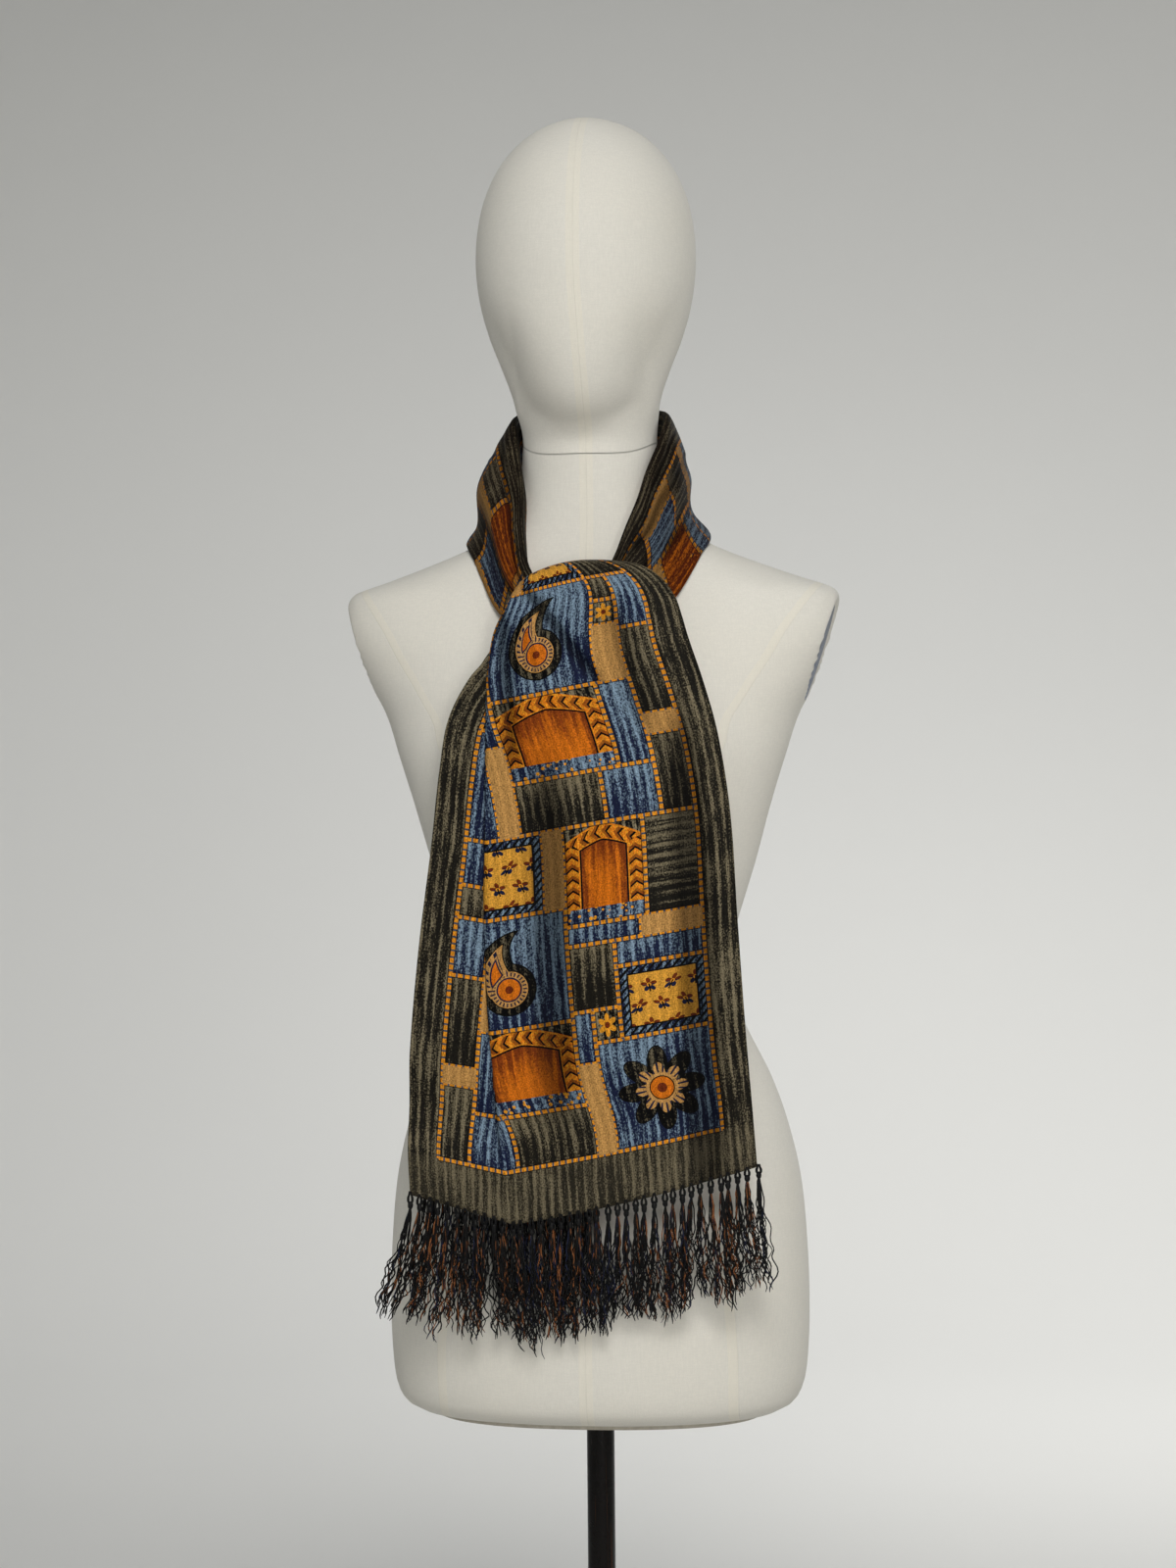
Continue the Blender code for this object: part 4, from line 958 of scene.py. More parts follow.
def make_linen(form):
    """A close plain cover with fine upright threads, warm pressed bands and sewn lines."""
    g = Graph("Linen cover")
    place = g.object_place()
    threads = g.drawn_noise(g.split(place), (900.0, 900.0, 120.0), 1.5)
    picks = g.drawn_noise(g.split(place), (150.0, 150.0, 1000.0))
    specks, cloud = g.noise(place, 1400.0, 1.0), g.noise(place, 11.0, 2.0)
    to_middle = g.plain(g.attribute("to_middle_seam", "Fac"))
    to_side = g.attribute("to_side_seam", "Fac")

    def dyed(red, green, blue):
        return tuple(min(1.0, c * m) for c, m in zip(form.linen, (red, green, blue)))

    weave = g.paint(form.linen, dyed(1.0, 0.985, 0.955), g.step(cloud, 0.35, 0.70), 0.45)
    for thread, low, high, share in ((threads, 0.30, 0.70, 0.30), (picks, 0.35, 0.65, 0.22),
                                     (specks, 0.35, 0.70, 0.30)):
        weave = g.paint(weave, dyed(0.86, 0.86, 0.86), g.step(thread, low, high), share)
    band = g.most(g.less(to_middle, form.seam),
                  g.both(g.less(to_side, 0.0),
                         g.less(g.times(to_side, -1.0), 1.4 * form.seam)))
    weave = g.paint(weave, dyed(1.07, 1.03, 0.93), band, 0.30)
    sewn = g.off(g.step(g.least(to_middle, g.plain(to_side)), 0.0002, 0.0007))
    weave = g.paint(weave, dyed(0.45, 0.45, 0.45), sewn, 0.06)
    neck_line = g.step(g.attribute("to_neck_line", "Fac"), 0.0012, 0.0003)
    weave = g.paint(weave, dyed(0.30, 0.30, 0.30), neck_line, 0.45)
    g.bump(g.add(g.times(threads, 0.4), g.times(picks, 0.3), g.times(specks, 0.3),
                 g.times(band, 0.5), g.times(sewn, -1.2)), 0.00030, 0.45)
    g.surface(base_color=weave, roughness=0.90, sheen_weight=0.08)
    g.specular(0.22)
    return g.material


def make_chrome():
    """A brushed steel plate, dark blue-grey for a painted reflection of a dark room, with a
    painted shadow.
    """
    g = Graph("Chrome plate")
    x, y, z = g.split(g.object_place())
    brush = g.drawn_noise((x, y, z), (90.0, 900.0, 90.0), 2.0)
    # painted shadow: a dark brown band across the middle front of the plate
    painted_shadow = g.both(g.step(z, 1.020, 1.045), g.step(z, 1.075, 1.050), g.step(y, 0.0, -0.030))
    g.surface(base_color=g.tint(painted_shadow, (0.34, 0.38, 0.45), (0.030, 0.018, 0.010)), metallic=1.0,
              roughness=g.pick(brush, 0.16, 0.34), specular_tint=(0.30, 0.33, 0.40, 1.0))
    return g.material


def make_dark_metal(form):
    """Black-brown lacquered metal with faint upright wiping marks: a slight bump, and painted
    brown highlights along them.
    """
    g = Graph("Dark lacquered metal")
    place = g.object_place()
    wipe_and_highlight = g.drawn_noise(g.split(place), (420.0, 420.0, 9.0), 2.0)
    dust = g.noise(place, 55.0, 3.0)
    # painted highlight: a brown colour where the upright marks lie
    warm = tuple(c * m for c, m in zip(form.metal, (22.0, 12.0, 6.0)))
    g.surface(base_color=g.tint(g.step(wipe_and_highlight, 0.62, 0.80), form.metal, warm),
              roughness=g.pick(dust, 0.20, 0.34))
    g.specular(0.16)
    g.bump(wipe_and_highlight, 0.0001, 0.15)
    return g.material


def make_board():
    """The pressed fibre board that closes the underside."""
    g = Graph("Pressed board")
    fibre = g.noise(g.object_place(), 220.0, 4.0)
    g.surface(base_color=g.tint(fibre, linear(150, 144, 130), linear(196, 190, 176)),
              roughness=0.8)
    g.bump(fibre, 0.0003, 0.4)
    return g.material


def make_thread(name, shade, ground):
    """Twisted silk thread: painted sheen in light and dark turns along it, dyed in lengths over
    the ground.
    """
    g = Graph(name)
    place = g.object_place()
    # painted sheen: the turns of the twist are painted lighter and darker
    twist_sheen = g.step(g.noise(place, 1500.0, 1.0), 0.45, 0.70)
    lengths = g.drawn_noise(g.split(place), (700.0, 700.0, 85.0))

    def with_sheen(dye):
        return g.tint(twist_sheen, tuple(c * 0.6 for c in dye),
                      tuple(min(1.0, c * 1.5 + 0.010) for c in dye))

    g.surface(base_color=g.tint(g.step(lengths, 0.46, 0.56), with_sheen(ground), with_sheen(shade)),
              roughness=0.50)
    g.specular(0.16)
    return g.material


# ---- the dress form -----------------------------------------------------------------------------

def blended_sections(rows):
    """The table's sections with smooth ones between them, no further apart than the rise."""
    sections = []
    for lower, upper in zip(rows, rows[1:]):
        close = ARMHOLE_FOOT < lower.height < rows[-1].height - CLOSE_BELOW
        rise = SHOULDER_RISE if close else FORM_RISE
        steps = max(1, math.ceil((upper.height - lower.height) / rise))
        for step in range(steps):
            height = lower.height + (upper.height - lower.height) * step / steps
            sections.append(Section(height, *(blend_rows(rows, name, height).x
                                              for name in Section._fields[1:])))
    return sections + [rows[-1]]


def section_point(section, share):
    """The point at a share of the way round a section."""
    angle = 2.0 * math.pi * share
    power = 2.0 / section.fullness
    across, along = math.cos(angle), math.sin(angle)
    return Vector((
        math.copysign(abs(across) ** power, across) * section.half_width,
        math.copysign(abs(along) ** power, along) * (section.back - section.front) / 2.0
        + (section.front + section.back) / 2.0,
        section.height,
    ))


def closed_form(sections, points=FORM_POINTS):
    """A closed skin over the sections, from a grid that is joined at its seam and capped."""
    bm = bmesh.new()
    rows = len(sections) - 1
    bmesh.ops.create_grid(bm, x_segments=points, y_segments=rows, size=0.5)
    for vert in bm.verts:
        column, row = round((vert.co.x + 0.5) * points), round((vert.co.y + 0.5) * rows)
        vert.co = section_point(sections[row], column / points)
    bmesh.ops.remove_doubles(bm, verts=bm.verts[:], dist=1e-6)
    bmesh.ops.holes_fill(bm, edges=[e for e in bm.edges if e.is_boundary], sides=0)
    bmesh.ops.recalc_face_normals(bm, faces=bm.faces[:])
    return bm


def armhole_plane(side):
    """A point of the plane of a shoulder end, and the way out of it."""
    point = Vector((side * ARMHOLE_AT[0], 0.0, ARMHOLE_AT[1]))
    normal = Vector((side * math.cos(ARMHOLE_LEAN), 0.0, -math.sin(ARMHOLE_LEAN)))
    return point, normal


def armhole_outline(bm, side):
    """The line in which the shoulder end's plane meets the torso."""
    point, normal = armhole_plane(side)
    spare = bm.copy()
    high = [f for f in spare.faces if min(v.co.z for v in f.verts) > ARMHOLE_FOOT]
    geometry = {g for f in high for g in [f, *f.edges, *f.verts]}
    cut = bmesh.ops.bisect_plane(spare, geom=list(geometry), dist=1e-6,
                                 plane_co=point, plane_no=normal, clear_outer=True)
    edges = [e for e in cut["geom_cut"] if isinstance(e, bmesh.types.BMEdge)]
    face = bmesh.ops.edgeloop_fill(spare, edges=edges)["faces"][0]
    if face.normal.dot(normal) < 0.0:
        face.normal_flip()
    outline = [v.co.copy() for v in face.verts]
    spare.free()
    return outline


def press_shoulder(bm, side, outline):
    """Press the shoulder end flat, with a rolled rim that stands proud round the plate."""
    point, normal = armhole_plane(side)
    middle = sum(outline, Vector()) / len(outline)
    across = Vector((0.0, 1.0, 0.0))
    up = across.cross(normal) * -side
    turns = sorted((math.atan2((p - middle).dot(up), (p - middle).dot(across)),
                    (p - middle).length) for p in outline)
    turns = [(turns[-1][0] - 2.0 * math.pi, turns[-1][1])] + turns
    turns.append((turns[1][0] + 2.0 * math.pi, turns[1][1]))
    pressed = []
    for vert in bm.verts:
        reach = (vert.co - point).dot(normal)
        if vert.co.z < ARMHOLE_FOOT or reach < -PRESS_DEPTH:
            continue
        spot = Vector(((vert.co - middle).dot(across), (vert.co - middle).dot(up)))
        turn = math.atan2(spot.y, spot.x)
        after = next(i for i in range(1, len(turns)) if turns[i][0] >= turn)
        (turn_a, far_a), (turn_b, far_b) = turns[after - 1], turns[after]
        far = far_a + (far_b - far_a) * (turn - turn_a) / max(turn_b - turn_a, 1e-6)
        share = spot.length / far
        rounding = RIM_ROUNDING[0] + RIM_ROUNDING[1] * math.sin(turn)
        bend = min(max((spot.length - far + rounding) / rounding, 0.0), 1.0)
        level = (RIM_HEIGHT * smooth_step(PLATE_SHARE, PLATE_SHARE + RIM_FADE, share)
                 - rounding * (1.0 - math.sqrt(1.0 - bend * bend)))
        if reach > level:
            vert.co -= normal * (reach - level)
            pressed.append(vert)
    for _ in range(PRESS_PASSES):
        bmesh.ops.smooth_vert(bm, verts=pressed, factor=PRESS_SMOOTH, use_axis_x=True,
                              use_axis_y=True, use_axis_z=True)


def shape_jaw(bm):
    """Lift the sides of the chin's underside, so that the face ends in a soft oval."""
    for vert in bm.verts:
        front = smooth_step(*JAW_FRONT, vert.co.y)
        window = smooth_step(*JAW_FOOT, vert.co.z) * smooth_step(*JAW_TOP, vert.co.z)
        aside = min(1.0, (vert.co.x / JAW_ASIDE) ** 2)
        vert.co.z += (JAW_LIFT * aside - CHIN_DROP) * front * window


def neck_line_lift(y):
    """How far the line between head and torso is lifted: it dips at the front of the neck."""
    return NECK_LINE_RISE - NECK_LINE_DIP * smooth_step(*NECK_LINE_FRONT, y)


def shape_neck_line(bm):
    """Lift the cover near the line between head and torso along with it."""
    for vert in bm.verts:
        near = smooth_step(NECK_LINE_REACH, 0.0, abs(vert.co.z - TORSO[-1].height))
        vert.co.z += near * neck_line_lift(vert.co.y)


def mark_seams(item):
    """Store how far each point of the cover is from the sewn lines."""
    middle = item.data.attributes.new("to_middle_seam", "FLOAT", "POINT")
    side = item.data.attributes.new("to_side_seam", "FLOAT", "POINT")
    neck = item.data.attributes.new("to_neck_line", "FLOAT", "POINT")
    for number, vert in enumerate(item.data.vertices):
        place = vert.co
        neck.data[number].value = abs(place.z - TORSO[-1].height - neck_line_lift(place.y))
        middle.data[number].value = place.x - blend_rows(MIDDLE_LINE, "x", place.z).x
        side.data[number].value = abs(place.x) - blend_rows(SIDE_LINE, "x", place.z).x


class SCARF_OT_form(bpy.types.Operator):
    """Build the padded torso and head and the chrome plates on the shoulder ends"""
    bl_idname = "scarf.form"
    bl_label = "Torso and head"

    def execute(self, context):
        linen = make_linen(context.scene.scarf_form)
        chrome = make_chrome()
        bm = closed_form(blended_sections(TORSO))
        outlines = {side: armhole_outline(bm, side) for side in (-1, 1)}
        for side, outline in outlines.items():
            press_shoulder(bm, side, outline)
        shape_neck_line(bm)
        torso = finished("padded_torso", bm, linen)
        bm = closed_form(blended_sections(HEAD))
        shape_jaw(bm)
        shape_neck_line(bm)
        head = finished("padded_head", bm, linen)
        for item, node in ((torso, "form_torso"), (head, "form_head")):
            mark_seams(item)
            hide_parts(node)
        for side, word in ((-1, "left"), (1, "right")):
            plate = self.plate(f"shoulder_plate_{word}", outlines[side], side, chrome)
            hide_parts(f"armhole_plate_{word}")
        return {"FINISHED"}

    def plate(self, name, outline, side, chrome):
        """An oval plate with a rounded rim."""
        normal = armhole_plane(side)[1]
        middle = sum(outline, Vector()) / len(outline)
        bm = bmesh.new()
        foot = [bm.verts.new(middle + (p - middle) * PLATE_SHARE + normal * PLATE_LIFT)
                for p in evenly(outline + outline[:1], PLATE_POINTS)[:-1]]
        face = bm.faces.new(foot)
        if face.normal.dot(normal) > 0.0:
            face.normal_flip()
        raised = bmesh.ops.extrude_face_region(bm, geom=[face])["geom"]
        top = [v for v in raised if isinstance(v, bmesh.types.BMVert)]
        bmesh.ops.translate(bm, verts=top, vec=normal * PLATE_HEIGHT)
        bmesh.ops.recalc_face_normals(bm, faces=bm.faces[:])
        cap = max(bm.faces, key=lambda f: f.calc_center_median().dot(normal))
        bmesh.ops.bevel(bm, geom=list(cap.edges), offset=PLATE_ROUNDING, offset_type="OFFSET",
                        segments=3, profile=0.5, affect="EDGES", material=-1)
        return finished(name, bm, chrome, 30.0)


def turned(profile, steps):
    """A closed turned body from a profile of (radius, height)."""
    bm = bmesh.new()
    verts = [bm.verts.new((radius, 0.0, height)) for radius, height in profile]
    edges = [bm.edges.new(pair) for pair in zip(verts, verts[1:])]
    bmesh.ops.spin(bm, geom=verts + edges, cent=(0, 0, 0), axis=(0, 0, 1),
                   angle=2.0 * math.pi, steps=steps, use_merge=True)
    bmesh.ops.remove_doubles(bm, verts=bm.verts[:], dist=1e-6)
    bmesh.ops.recalc_face_normals(bm, faces=bm.faces[:])
    return bm


class SCARF_OT_stand(bpy.types.Operator):
    """Build the round base, the pole and the board under the torso"""
    bl_idname = "scarf.stand"
    bl_label = "Stand"

    def execute(self, context):
        metal = make_dark_metal(context.scene.scarf_form)
        profile = [(0.0, 0.0), (BASE_RADIUS - BASE_EDGE / 2.0, 0.0),
                   (BASE_RADIUS, BASE_EDGE / 2.0)]
        for step in range(7):
            angle = math.pi / 2.0 * step / 6
            profile.append((BASE_RADIUS - BASE_EDGE * (1.0 - math.cos(angle)),
                            BASE_HEIGHT - BASE_EDGE * (1.0 - math.sin(angle))))
        profile += [(BOSS_RADIUS + out, BASE_HEIGHT + up) for out, up in BOSS_FOOT]
        profile += [(BOSS_RADIUS + out, BOSS_HEIGHT - down) for out, down in BOSS_TOP]
        base = finished("round_base", turned(profile + [(0.0, BOSS_HEIGHT)], BASE_STEPS), metal)
        profile = [(0.0, POLE_FOOT), (POLE_RADIUS, POLE_FOOT), (POLE_RADIUS, POLE_TOP),
                   (0.0, POLE_TOP)]
        pole = finished("pole", turned(profile, POLE_STEPS), metal)
        outline = TORSO[0]
        rings = [Section(height, outline.half_width * BOARD_INSET, outline.front * BOARD_INSET,
                         outline.back * BOARD_INSET, outline.fullness)
                 for height in (BOARD_FOOT, BOARD_TOP)]
        board = finished("underside_board", closed_form(rings), make_board())
        for item, node, slot in ((base, "stand_base", "dark_metal"),
                                 (pole, "stand_pole", "dark_metal"),
                                 (board, "form_board", "board")):
            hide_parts(node)
        return {"FINISHED"}


# ---- the scarf's cloth --------------------------------------------------------------------------

CLEAR_OF_FORM = 0.0022       # from the form's skin to the middle of the cloth
CREASE_BEYOND = 0.25         # of its length: how far a crease runs on past its ends
CREASE_FULL = 0.15           # and where it is full, inside them

# Small uneven waves that run down the cloth: cells a metre across and down, and their height.
Wave = namedtuple("Wave", "across down layer height")

RIPPLES = [Wave(34.0, 5.0, 1.7, 0.0011), Wave(90.0, 14.0, 4.1, 0.0004)]


def form_trees():
    """What the cloth rests on."""
    return [BVHTree.FromPolygons([v.co for v in item.data.vertices],
                                 [p.vertices[:] for p in item.data.polygons])
            for item in (bpy.data.objects["padded_torso"], bpy.data.objects["padded_head"])]


def held_clear(point, trees, gap=CLEAR_OF_FORM):
    """The point, moved out of the form's skin where it would be nearer than the gap."""
    for tree in trees:
        skin, normal, _, _ = tree.find_nearest(point)
        away = point - skin
        if away.dot(normal) < 0.0:
            point = skin + normal * gap
        elif away.length < gap:
            point = skin + away.normalized() * gap
    return point


def patch_at(u, v, layout):
    """The patch of the print under a place on the cloth, and the place from its corner."""
    if v < END_BORDER:
        inside = BORDER < u < CLOTH_WIDTH - BORDER
        return EDGE, PLAIN, FAR / 2.0, END_BORDER - v if inside else FAR / 2.0, FAR, FAR
    if u < BORDER or u > CLOTH_WIDTH - BORDER:
        inward = BORDER - u if u < BORDER else u - (CLOTH_WIDTH - BORDER)
        return EDGE, PLAIN, inward, FAR / 2.0, FAR, FAR
    across = (u - BORDER) / UNIT
    up = (v - END_BORDER) / UNIT
    mirrored = up // layout.height % 2 == 1
    up %= layout.height
    if mirrored:
        across = layout.width - across
    for patch in layout.patches:
        if (patch.left <= across < patch.left + patch.width
                and patch.foot <= up < patch.foot + patch.height):
            x = (across - patch.left) * UNIT
            return (patch.kind, patch.motif, patch.width * UNIT - x if mirrored else x,
                    (up - patch.foot) * UNIT, patch.width * UNIT, patch.height * UNIT)
    raise ValueError("the print has a gap")


def cloth_piece(name, rows, place_uv, material, thickness, layout, lift):
    """A grid through rows of points, with its print laid on it and the silk's thickness."""
    columns, count = len(rows[0]) - 1, len(rows) - 1
    bm = bmesh.new()
    bmesh.ops.create_grid(bm, x_segments=columns, y_segments=count, size=0.5)
    uv = bm.loops.layers.uv.new("cloth")
    place = bm.loops.layers.float_vector.new("patch")
    size = bm.loops.layers.float_vector.new("patch_size")
    hollow = bm.verts.layers.float.new("hollow")
    cells = {v: (round((v.co.x + 0.5) * columns), round((v.co.y + 0.5) * count))
             for v in bm.verts}
    for face in bm.faces:
        spots = [place_uv(*cells[loop.vert]) for loop in face.loops]
        u = sum(s[0] for s in spots) / len(spots)
        v = sum(s[1] for s in spots) / len(spots)
        kind, motif, x, y, width, height = patch_at(u, v, layout)
        sign_x = -1.0 if kind == EDGE and u < BORDER else 1.0
        sign_y = -1.0 if kind == EDGE and v < END_BORDER else 1.0
        for loop, spot in zip(face.loops, spots):
            loop[uv].uv = spot
            loop[place] = Vector((x + (spot[0] - u) * sign_x, y + (spot[1] - v) * sign_y, kind))
            loop[size] = Vector((width, height, motif))
    for vert, (column, row) in cells.items():
        vert.co = rows[row][column]
        # painted shade: how dark the print is painted in a crease's valley
        vert[hollow] = min(max(-lift(column, row) / CREASE_SHADE_DEPTH, 0.0), 1.0)
    item = finished(name, bm, material, 180.0)
    wall = item.modifiers.new("Thickness", "SOLIDIFY")
    wall.thickness = thickness
    wall.offset = 0.0
    return item


def crease_lift(creases, along, across):
    """How proud soft creases make the cloth at a place along and across them."""
    lift = 0.0
    for crease in creases:
        (from_along, from_across), (to_along, to_across) = crease.top, crease.foot
        share = (along - from_along) / (to_along - from_along)
        if -CREASE_BEYOND < share < 1.0 + CREASE_BEYOND:
            centre = from_across + (to_across - from_across) * share
            fade = (smooth_step(-CREASE_BEYOND, CREASE_FULL, share)
                    * (1.0 - smooth_step(1.0 - CREASE_FULL, 1.0 + CREASE_BEYOND, share)))
            lift += crease.proud * fade * math.exp(-(((across - centre) / crease.width) ** 2))
    return lift


def ripple(point, share):
    """How proud the small waves make the cloth at a point."""
    return share * sum(wave.height * noise.noise(Vector((point.x * wave.across, wave.layer,
                                                         point.z * wave.down)))
                       for wave in RIPPLES)


SECTION_STEPS = 10           # between two corners of a section of the wound stretch


def loop_section(turn):
    """A section of the wound stretch as a line of points from its inner end to its foot."""
    corners = [blend_rows(NECK_LOOP, name, turn) for name in Wound._fields[1:]]
    return smooth_line(corners, SECTION_STEPS)


LOOP_ROW = 3.5               # degrees between the rows
LOOP_INNER = 22              # columns from the crest to the inner end
LOOP_OUTER = 46              # columns from the crest to the foot
LOOP_PRINT_FROM = 0.875      # along the print, from the end border
LOOP_SAG = (0.0034, -0.0110)  # of the lower layer beside the knot: outwards and down
SAG_FROM = (0.50, 0.80)      # share of the way from the crest to the foot where it comes in,
SAG_NAPE = (66, 100)         # turns to both sides where it comes in,
SAG_KNOT = (154, 130)        # and where it ends
EASED_FROM = 16              # columns from the crest to where the rows are eased
EASE_PASSES = 12
EASE = 0.6                   # share of the way to a point's neighbours, each time
FLUTTER = Wave(2.2, 70.0, 0.0, 0.0012)  # small waves of its outer layers, round the neck
FLUTTER_FROM = (0.066, 0.080)    # from the neck's axis

# Creases of the wound stretch: ends (turn, share of the way from the crest to the foot), half
# width as a share, and how proud (a valley is negative).
LOOP_CREASES = [
    Crease((-98, 0.17), (-160, 0.30), 0.034, -0.0024),
    Crease((-98, 0.09), (-158, 0.13), 0.030, 0.0011),
    Crease((-112, 0.38), (-152, 0.46), 0.060, 0.0020),
    Crease((-108, 0.62), (-156, 0.60), 0.050, -0.0026),
    Crease((-124, 0.84), (-164, 0.72), 0.050, 0.0020),
    Crease((100, 0.13), (166, 0.20), 0.032, -0.0020),
    Crease((100, 0.07), (166, 0.09), 0.026, 0.0010),
    Crease((106, 0.34), (150, 0.26), 0.045, -0.0026),
    Crease((112, 0.46), (150, 0.60), 0.055, 0.0030),
    Crease((112, 0.66), (158, 0.50), 0.045, -0.0030),
    Crease((126, 0.86), (166, 0.74), 0.055, 0.0024),
    Crease((-88, 0.30), (-18, 0.38), 0.055, -0.0022),
    Crease((-44, 0.20), (58, 0.30), 0.050, 0.0020),
    Crease((28, 0.45), (94, 0.36), 0.055, -0.0022),
    Crease((-82, 0.60), (2, 0.66), 0.055, 0.0022),
    Crease((8, 0.72), (92, 0.62), 0.050, -0.0022),
]


class SCARF_OT_neck_loop(bpy.types.Operator):
    """Build the stretch that is wound round the neck"""
    bl_idname = "scarf.neck_loop"
    bl_label = "Round the neck"

    def execute(self, context):
        trees = form_trees()
        cloth = context.scene.scarf_cloth
        start, end = NECK_LOOP[0].turn, NECK_LOOP[-1].turn
        count = round((end - start) / LOOP_ROW)
        rows = []
        for row in range(count + 1):
            turn = start + (end - start) * row / count
            section = loop_section(turn)
            crest = max(range(len(section)), key=lambda i: section[i].y)
            outer = evenly(section[crest:], LOOP_OUTER)
            for column in range(1, LOOP_OUTER):
                run = (outer[column + 1] - outer[column - 1]).normalized()
                lift = crease_lift(LOOP_CREASES, turn, column / LOOP_OUTER)
                sag = (smooth_step(*SAG_FROM, column / LOOP_OUTER)
                       * smooth_step(*SAG_NAPE, abs(turn)) * smooth_step(*SAG_KNOT, abs(turn)))
                outer[column] = (outer[column] + Vector((-run.y, run.x)) * lift
                                 + Vector(LOOP_SAG) * sag)
            line = evenly(section[:crest + 1], LOOP_INNER) + outer[1:]
            rows.append([self.place(turn, point, trees) for point in line])

        def place_uv(column, row):
            step = 2.0 * COLUMN if column < LOOP_INNER else COLUMN
            return abs(column - LOOP_INNER) * step, END_BORDER + LOOP_PRINT_FROM + row * UNIT

        soft = [(row, column) for row in range(1, count)
                for column in range(LOOP_INNER + EASED_FROM, LOOP_INNER + LOOP_OUTER)]
        for _ in range(EASE_PASSES):
            eased = {(row, column): (rows[row - 1][column] + rows[row + 1][column]
                                     + rows[row][column - 1] + rows[row][column + 1]) / 4.0
                     for row, column in soft}
            for (row, column), spot in eased.items():
                rows[row][column] = held_clear(rows[row][column].lerp(spot, EASE), trees)

        def lift(column, row):
            return crease_lift(LOOP_CREASES, start + (end - start) * row / count,
                               max(column - LOOP_INNER, 0) / LOOP_OUTER)

        item = cloth_piece("scarf_round_neck", rows, place_uv, silk(), cloth.thickness,
                           WOUND_PRINT, lift)
        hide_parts("scarf_neck_loop")
        return {"FINISHED"}

    def place(self, turn, point, trees):
        """A point of a section in space, with a little flutter in its outer layers."""
        angle = math.radians(turn)
        aside, back = math.sin(angle), math.cos(angle)
        flutter = noise.noise(Vector((aside * FLUTTER.across, back * FLUTTER.across,
                                      point.y * FLUTTER.down))) * FLUTTER.height
        out = point.x + flutter * smooth_step(*FLUTTER_FROM, point.x)
        return held_clear(Vector((out * aside, NECK_AXIS_Y + out * back, point.y)), trees)


FALL_COLUMNS = round(CLOTH_WIDTH / COLUMN)
PANEL_POINTS = 90
LEFT_POINTS = 40
TURN_POINTS = 8
BELOW_ROLL = (0.03, 0.07)    # down the cloth, where creases and waves come in
LEFT_RIPPLE = 0.8            # the waves' share on the left of the pleat


def fall_place(column, row):
    """The place on the cloth of a point in the grid of a hanging end."""
    return column * COLUMN, row * UNIT


def panel_point(corners, down, share):
    """A point of the front panel, at a share of the way from the pleat to the right."""
    fold, middle, right = corners
    bow = middle - (fold + right) / 2.0
    point = fold.lerp(right, share) + bow * (4.0 * share * (1.0 - share))
    below = smooth_step(*BELOW_ROLL, down)
    point.y -= crease_lift(CREASES, point.z, point.x) * below + ripple(point, below)
    return point


def panel_corners(down):
    """The front panel's pleat, middle and right edge at a place down the cloth."""
    return [blend_rows(FRONT_FALL, name, down) for name in ("fold", "middle", "right")]


def fall_normal(down):
    """The way out of the cloth's front face, on the roll and below it."""
    above, below = (panel_point(panel_corners(at), at, 0.4)
                    for at in (down - 0.004, down + 0.004))
    along = below - above
    return Vector((0.0, along.z, -along.y)).normalized()


def fall_line(down):
    """The whole row from the right selvage over the panel and round the pleat to the left."""
    corners = panel_corners(down)
    left = blend_rows(FRONT_FALL, "left", down)
    tuck = max(blend_rows(FRONT_FALL, "tuck", down).x, TUCK_LEAST)
    line = [panel_point(corners, down, 1.0 - step / PANEL_POINTS)
            for step in range(PANEL_POINTS + 1)]
    turn = math.pi * smooth_step(0.0, PLEAT_OPEN, tuck)
    bend = PLEAT_TURN * max(turn, PLEAT_TURN_LEAST) / TURN_POINTS
    into = [(math.pi - turn * (step + 0.5) / TURN_POINTS, bend)
            for step in range(TURN_POINTS)]
    spot, path = Vector((0.0, 0.0)), []
    for heading, reach in into + [(math.pi - turn, tuck)] + into[::-1]:
        spot = spot + Vector((math.cos(heading), math.sin(heading))) * reach
        path.append(spot)
    edge = Vector((left.x - corners[0].x, spot.y))
    path += [spot.lerp(edge, step / LEFT_POINTS) for step in range(1, LEFT_POINTS + 1)]
    out, fold = fall_normal(down), line[-1]
    for sideways, behind in path:
        point = fold - out * behind
        point.x += sideways
        if sideways < 0.0:
            point.z += left.y * min(1.0, sideways / (edge.x or -1.0))
            point.y -= ripple(point, smooth_step(0.0, -0.02, sideways)) * LEFT_RIPPLE
        line.append(point)
    return line


class SCARF_OT_front_fall(bpy.types.Operator):
    """Build the end that rolls over the knot and falls down the front"""
    bl_idname = "scarf.front_fall"
    bl_label = "Front fall"

    def execute(self, context):
        trees = form_trees()
        cloth = context.scene.scarf_cloth
        start, end = FRONT_FALL[0].down, FRONT_FALL[-1].down
        count = round((end - start) / UNIT)
        rows = []
        for row in range(count + 1):
            down = end + (start - end) * row / count
            line = [held_clear(p, trees) for p in fall_line(down)]
            rows.append(evenly(line, FALL_COLUMNS))

        def lift(column, row):
            point = rows[row][column]
            return crease_lift(CREASES, point.z, point.x)

        item = cloth_piece("scarf_front", rows, fall_place, silk(), cloth.thickness, PRINT, lift)
        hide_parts("scarf_front_fall")
        return {"FINISHED"}


UNDER_STEPS = 20             # across each layer
UNDER_FOLD_STEPS = 6         # and round the fold between them
UNDER_SHORT = 0.012          # by which the layer behind is narrower


